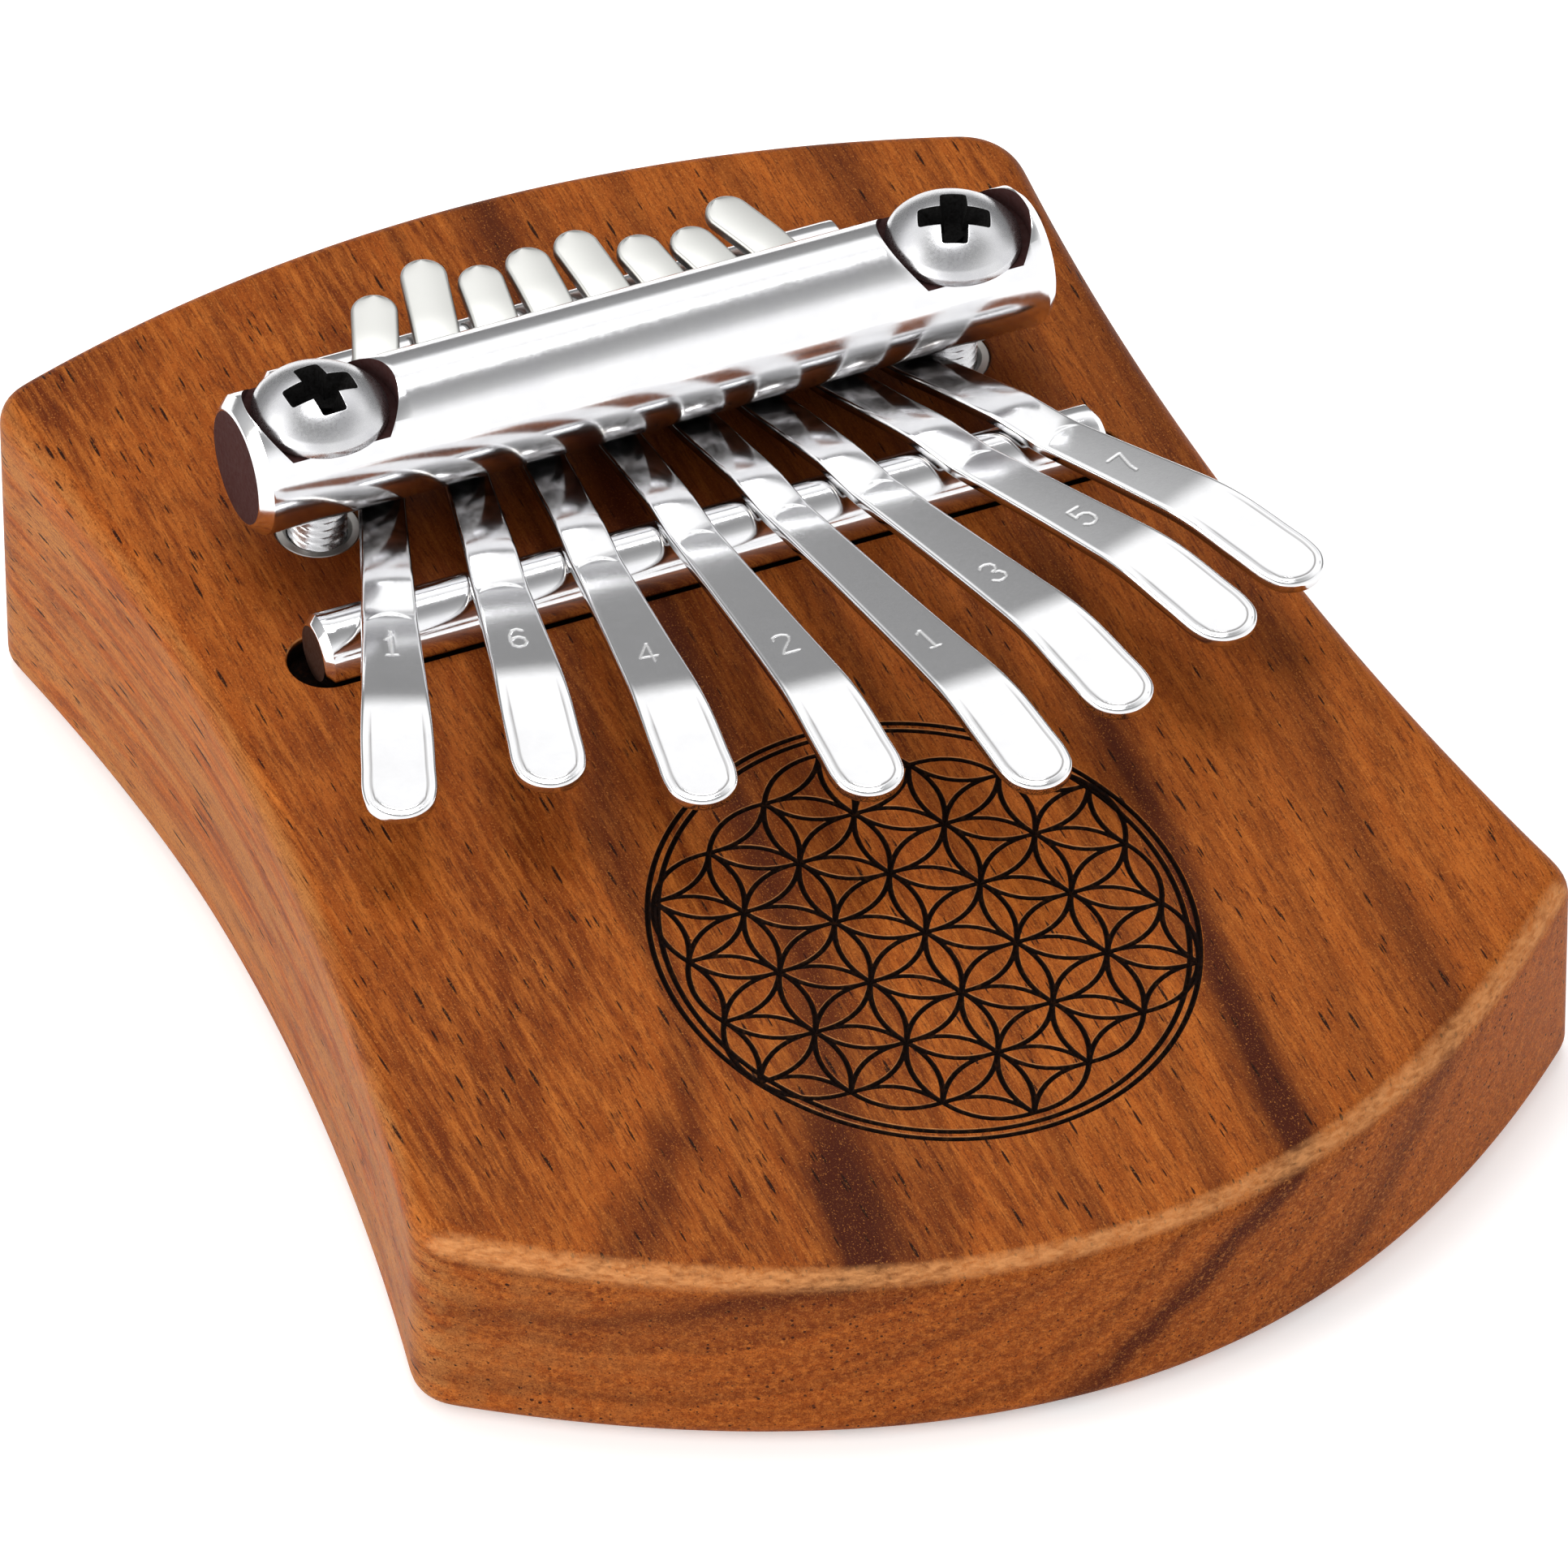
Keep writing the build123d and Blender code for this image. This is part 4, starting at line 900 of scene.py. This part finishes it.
def build_tine(i):
    spec = TINES[i - 1]
    x0, slope, c, t_tail, t_tip, T, H = tine_path(spec)
    w, WT = TINE_W / 2, TIP_W / 2
    er, nr = 0.36, 6                                     # rounded strip edges
    # half outline from the tail's end to the tip's end, by a smooth curve through the stations
    side = [(t_tip - dd_, hh_) for dd_, hh_ in TAPER] + [(t_tip - WT, WT), (t_tip - WT / 2, WT * 0.866), (t_tip - WT * 0.134, WT / 2), (t_tip, 0)]
    tl = [(t_tail + w - w * math.cos(a), w * math.sin(a)) for a in np.linspace(0, math.pi / 2, 26)]
    d0 = digit_at[i - 1]
    P = [np.array((side[0][0] - 3.0, w))] + [np.array(s) for s in side] + [np.array((t_tip - WT * 0.134, -WT / 2))]
    curve = []
    for k in range(1, len(P) - 2):
        p0, p1, p2, p3 = P[k - 1], P[k], P[k + 1], P[k + 2]
        steps = 14
        l01, l12, l23 = (max(np.linalg.norm(b - a), 1e-6) ** 0.5 for a, b in ((p0, p1), (p1, p2), (p2, p3)))
        m1 = (p1 - p0) / l01 - (p2 - p0) / (l01 + l12) + (p2 - p1) / l12
        m2 = (p2 - p1) / l12 - (p3 - p1) / (l12 + l23) + (p3 - p2) / l23
        m1, m2 = m1 * l12, m2 * l12
        for s in range(steps):
            u = s / steps
            curve.append((2 * u ** 3 - 3 * u ** 2 + 1) * p1 + (u ** 3 - 2 * u ** 2 + u) * m1 + (-2 * u ** 3 + 3 * u ** 2) * p2 + (u ** 3 - u ** 2) * m2)
    curve.append(P[-2])
    curve = np.array(curve)
    stop = t_tip - 7.0                                   # strip stations up to here, then the curve itself
    fine = np.arange(d0 - 2.6, d0 + 1.8, 0.075)
    body_t = np.r_[np.arange(t_tail + w + 0.4, stop, 0.40), np.arange(1.6, 4.6, 0.1)]
    body_t = np.r_[body_t[(body_t < fine[0] - 0.1) | (body_t > fine[-1] + 0.1)], fine]
    body_t = np.sort(body_t[(body_t < stop) & (body_t > t_tail + w + 0.2)])
    cm = curve[:, 0] < t_tip - 6.0
    yw = np.interp(body_t, np.r_[curve[0, 0] - 100, curve[cm, 0]], np.r_[w, curve[cm, 1]])
    half = np.concatenate([np.array(tl), np.stack([body_t, yw], 1), curve[curve[:, 0] > stop + 0.05]])
    keep = [0]
    for k in range(1, len(half)):
        if np.linalg.norm(half[k] - half[keep[-1]]) > 0.03 and half[k][0] >= half[keep[-1]][0] - 1e-6:
            keep.append(k)
    half = half[keep]
    half[-1] = (t_tip, 0)
    rim = np.concatenate([half, half[::-1] * np.array([1, -1])])
    g = np.gradient(half, axis=0)
    g[0] = (0, 1); g[-1] = (0, -1)
    g /= np.linalg.norm(g, axis=1)[:, None]
    onr = np.stack([-g[:, 1], g[:, 0]], 1)                # outward normal for y > 0
    n = len(half)
    verts, faces, marks, dark_line_shade = [], [], [], []
    lines = digit_lines(DIGITS[i - 1], d0)
    sa = np.concatenate([l[:-1] for l in lines]); sb = np.concatenate([l[1:] for l in lines])
    cols = 44

    def place_pts(ty, off):
        """(t, y) plan points at normal offset off from the mid surface to deck coordinates."""
        t = ty[:, 0]
        h = np.interp(t, T, H)
        hp = (np.interp(t + 0.15, T, H) - np.interp(t - 0.15, T, H)) / 0.3
        l = np.sqrt(1 + hp * hp)
        tt = t - hp / l * off
        hh = h + off / l
        return np.stack([x0 - slope * c * tt - c * (-1) * 0 + ty[:, 1] * (-c) * -1 * 0 + ty[:, 1] * c, FROD_Q - c * tt - ty[:, 1] * slope * c, hh], 1)

    rings = []
    for top in (1, -1):
        for k in range(nr + 1):
            a = math.pi / 2 * k / nr
            ins_ = er * (1 - math.cos(a)); hh = top * (TINE_T / 2 - er * (1 - math.sin(a)))
            rings.append((ins_, hh))
    # ring order: from top face's rim down the side to the bottom face's rim
    order = [rings[k] for k in range(nr, -1, -1)] + [rings[nr + 1 + k] for k in range(0, nr + 1)]
    loops = []
    for ins_, hh in order:
        q = half - onr * ins_
        q[0, 1] = 0; q[-1, 1] = 0
        q[:, 1] = np.maximum(q[:, 1], 0)
        full = np.concatenate([q, q[-2:0:-1] * np.array([1, -1])])
        ids = list(range(len(verts), len(verts) + len(full)))
        verts += list(place_pts(full, hh)); marks += [0.0] * len(full)
        # painted shade: the tails' sides and the faces below the mid plane get a dark line, standing in for contact
        # shadow and reflected dark wood
        tail_f = np.clip((-(RROD_Q - FROD_Q) / c + 6.0 - full[:, 0]) / 3.0, 0, 1)
        side_shade = 0.95 if abs(hh) < TINE_T / 2 - 0.16 else 0.0
        under = 0.9 if hh < -0.10 else 0.0
        dark_line_shade += list(np.maximum(side_shade * tail_f, under * np.clip((t_tip - 3.0 - full[:, 0]) / 4.0, 0.25, 1)))
        loops.append(ids)
    m = len(loops[0])
    for A, B in zip(loops, loops[1:]):
        for k in range(m):
            l = (k + 1) % m
            faces.append((A[k], A[l], B[l], B[k]))
    # top and bottom faces: strips across between paired rim points
    for loop, hh, top in ((loops[0], TINE_T / 2, True), (loops[-1], -TINE_T / 2, False)):
        q = half - onr * er
        q[0, 1] = 0; q[-1, 1] = 0
        q[:, 1] = np.maximum(q[:, 1], 0)
        nc = cols if top else 6
        grid = []
        for k in range(n):
            if k in (0, n - 1):
                grid.append([loop[k]] * (nc + 1))
                continue
            row = [loop[k]]
            ys = np.linspace(q[k, 1], -q[k, 1], nc + 1)[1:-1]
            ty = np.stack([np.full(len(ys), q[k, 0]), ys], 1)
            off = np.full(len(ys), hh)
            mk = np.zeros(len(ys)); crease_shade = np.zeros(len(ys))
            if top and q[k, 0] > t_tip - 12.0:
                # the blade's rim is rolled down outside a fine crease
                near = rim[np.abs(rim[:, 0] - q[k, 0]) < 1.8]
                de = np.sqrt(((ty[:, None, :] - near[None, :, :]) ** 2).sum(2)).min(1)
                fade = np.clip((q[k, 0] - t_tip + 12.0) / 3.0, 0, 1)
                # painted shade: a dark line along the rim's crease on the tip
                crease_shade = fade * np.clip(1.25 - np.abs(de - RIM) / 0.09, 0, 1)
                u = np.clip(1 - de / RIM, 0, 1)
                off = off - fade * (0.16 * u ** 1.5 + 0.02 * crease_shade)
            if top and d0 - 2.3 < q[k, 0] < d0 + 1.5:
                dd = seg_distance(ty, sa, sb)
                mk = np.clip(1.5 - dd / 0.10, 0, 1)
                off = off - 0.030 * np.clip(1 - (dd / 0.14) ** 2, 0, 1)
            # rolled strip is slightly crowned; the tongue's face is ground flat from a curved line on
            if top:
                yy = (ys / max(q[k, 1], 1e-3)) ** 2
                f = np.clip((q[k, 0] - (2.55 + 0.95 * yy)) / 0.32, 0, 1)
                crown = 0.012 + 0.085 * (1 - f * f * (3 - 2 * f))
                off = off + crown * (1 - yy)
            row += list(range(len(verts), len(verts) + len(ys)))
            verts += list(place_pts(ty, off)); marks += list(mk); dark_line_shade += list(crease_shade)
            row.append(loop[m - k])
            grid.append(row)
        for k in range(n - 1):
            for j in range(nc):
                quad = [grid[k][j], grid[k + 1][j], grid[k + 1][j + 1], grid[k][j + 1]]
                uq = []
                for v in quad:
                    if v not in uq:
                        uq.append(v)
                if len(uq) >= 3:
                    faces.append(tuple(uq))
    verts = np.array(verts)
    name = "tine_%d_spring" % i
    me = bpy.data.meshes.new(name)
    me.from_pydata([tuple(v) for v in deck(verts)], [], faces)
    tpar = ((FROD_Q - verts[:, 1]) / c)
    tr = -(RROD_Q - FROD_Q) / c
    matte = np.clip((tr + 6.0 - tpar) / 4.0, 0, 1)
    a = me.attributes.new("matte", "FLOAT", "POINT"); a.data.foreach_set("value", matte.astype(np.float32))
    a = me.attributes.new("mark", "FLOAT", "POINT"); a.data.foreach_set("value", np.array(marks, np.float32))
    a = me.attributes.new("line", "FLOAT", "POINT"); a.data.foreach_set("value", np.array(dark_line_shade, np.float32))
    o = bpy.data.objects.new(name, me)
    bpy.context.scene.collection.objects.link(o)
    me.materials.append(M_TINE)
    b = bmesh.new()
    b.from_mesh(me)
    bmesh.ops.recalc_face_normals(b, faces=b.faces)
    b.to_mesh(me)
    b.free()
    for p in me.polygons:
        p.use_smooth = True
    me.set_sharp_from_angle(angle=math.radians(50))
    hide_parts("tine_%d_shank" % i, "tine_%d_tongue" % i)
    def pt(t):
        h = float(np.interp(t, T, H))
        return tuple(deck([(x0 - slope * c * t, FROD_Q - c * t, h)])[0])
    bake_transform(o)
    return o


digit_at = []
for i, (xa, qtail, xt, qt) in enumerate(TINES):
    digit_at.append(DIGIT_T[i])
for i in range(1, 9):
    build_tine(i)


# ------------------------------------------------------------- studio
def studio_world():
    w = bpy.data.worlds.new("studio")
    bpy.context.scene.world = w
    w.use_nodes = True
    nt = w.node_tree
    nt.nodes.clear()
    out = nt.nodes.new("ShaderNodeOutputWorld")
    bg = nt.nodes.new("ShaderNodeBackground")
    nt.links.new(bg.outputs[0], out.inputs[0])
    tc = nt.nodes.new("ShaderNodeTexCoord")
    sep = node(nt, "ShaderNodeSeparateXYZ", inputs={0: tc.outputs["Generated"]})
    x, y, z = sep.outputs
    rear = nt.nodes.new("ShaderNodeValToRGB")
    rear.color_ramp.interpolation = "LINEAR"
    cr = rear.color_ramp
    stops = [(0.0, 0.20), (0.20, 0.27), (0.38, 0.31), (0.49, 0.34), (0.56, 0.80), (0.61, 1.28), (0.80, 1.28), (0.86, 0.95), (0.92, 0.48), (0.96, 0.34), (1.0, 0.32)]
    cr.elements[0].position, cr.elements[1].position = stops[0][0], stops[-1][0]
    for ppos, v in stops[1:-1]:
        cr.elements.new(ppos)
    for e, (ppos, v) in zip(cr.elements, stops):
        e.position = ppos
        e.color = (v / 2, v / 2, v / 2, 1)
    nt.links.new(z, rear.inputs[0])
    frontr = nt.nodes.new("ShaderNodeValToRGB")
    cr = frontr.color_ramp
    stops = [(0.0, 1.15), (0.45, 1.2), (0.62, 1.15), (0.72, 0.90), (0.80, 0.58), (0.88, 0.42), (0.94, 0.34), (1.0, 0.32)]
    cr.elements[0].position, cr.elements[1].position = stops[0][0], stops[-1][0]
    for ppos, v in stops[1:-1]:
        cr.elements.new(ppos)
    for e, (ppos, v) in zip(cr.elements, stops):
        e.position = ppos
        e.color = (v / 2, v / 2, v / 2, 1)
    nt.links.new(z, frontr.inputs[0])
    f = remap(nt, y, -0.15, 0.2, 0.0, 1.0, True)
    m = nt.nodes.new("ShaderNodeMix")
    m.data_type = "RGBA"
    nt.links.new(f, m.inputs[0]); nt.links.new(frontr.outputs[0], m.inputs[6]); nt.links.new(rear.outputs[0], m.inputs[7])
    # a brighter panel stands to the left of the instrument
    left = remap(nt, x, -0.35, -0.85, 0.0, 1.0, True)
    gain = math_(nt, "ADD", 1.0, math_(nt, "MULTIPLY", left, 0.9))
    nt.links.new(m.outputs[2], bg.inputs[0])
    nt.links.new(math_(nt, "MULTIPLY", gain, 2.0 * WORLD), bg.inputs[1])


WORLD = 1.0
studio_world()

fm, nt, bs = mat("pale_floor")
p = coords(nt)
fn = noise(nt, scaled(nt, p, (0.01, 0.01, 0.01)), 1.0, 3.0)
nt.links.new(mix(nt, fn, (0.90, 0.90, 0.90), (0.93, 0.93, 0.93)), bs.inputs["Base Color"])
bs.inputs["Roughness"].default_value = 0.9
bs.inputs["Specular IOR Level"].default_value = 0.1
bs.inputs["Emission Color"].default_value = (1, 1, 1, 1)
bs.inputs["Emission Strength"].default_value = 0.28
floor = make("floor", [(-3, -3, -0.0004), (3, -3, -0.0004), (3, 3, -0.0004), (-3, 3, -0.0004)], [(0, 1, 2, 3)], fm)


def area(name, loc, target, size, energy, colour=(1, 1, 1)):
    l = bpy.data.lights.new(name, "AREA")
    l.shape = "RECTANGLE"
    l.size, l.size_y = size
    l.energy = energy
    l.color = colour
    o = bpy.data.objects.new(name, l)
    bpy.context.scene.collection.objects.link(o)
    o.location = loc
    o.rotation_mode = "QUATERNION"
    o.rotation_quaternion = (Vector(target) - Vector(loc)).to_track_quat("-Z", "Y")
    return o


area("overhead", (0.10, 0.25, 1.2), (0, 0, 0), (0.5, 0.5), 5.0)

area("left_panel", (-1.25, 0.05, 0.42), (0, 0, 0), (0.7, 0.5), 8.0, (1.0, 0.97, 0.90))

# ------------------------------------------------------------- camera
cam = bpy.data.cameras.new("camera")
cam.sensor_width = 36.0
cam.lens = 465.8
co = bpy.data.objects.new("camera", cam)
bpy.context.scene.collection.objects.link(co)
RT = Vector((0.91695783, -0.39895325, -0.00496469))
UP = Vector((0.25525776, 0.57703241, 0.77580737))
BK = Vector((-0.30664608, -0.71264992, 0.6309503))
F_PX, DIST = 25000.0, 1.6531
O = Vector((-0.000612, -0.02952, 0.0))
# principal point is the picture's centre, 966 px; the fit's origin lies at (1140.75, 1377.55)
loc = O + BK * DIST - RT * ((1140.75 - 966.0) / F_PX * DIST) + UP * ((1377.55 - 966.0) / F_PX * DIST)
rot = Matrix((RT, UP, BK)).transposed()
co.matrix_world = Matrix.Translation(loc) @ rot.to_4x4()
cam.clip_start, cam.clip_end = 0.1, 20.0
bpy.context.scene.camera = co
try:
    bpy.context.scene.view_settings.view_transform = "Standard"
except TypeError:
    pass
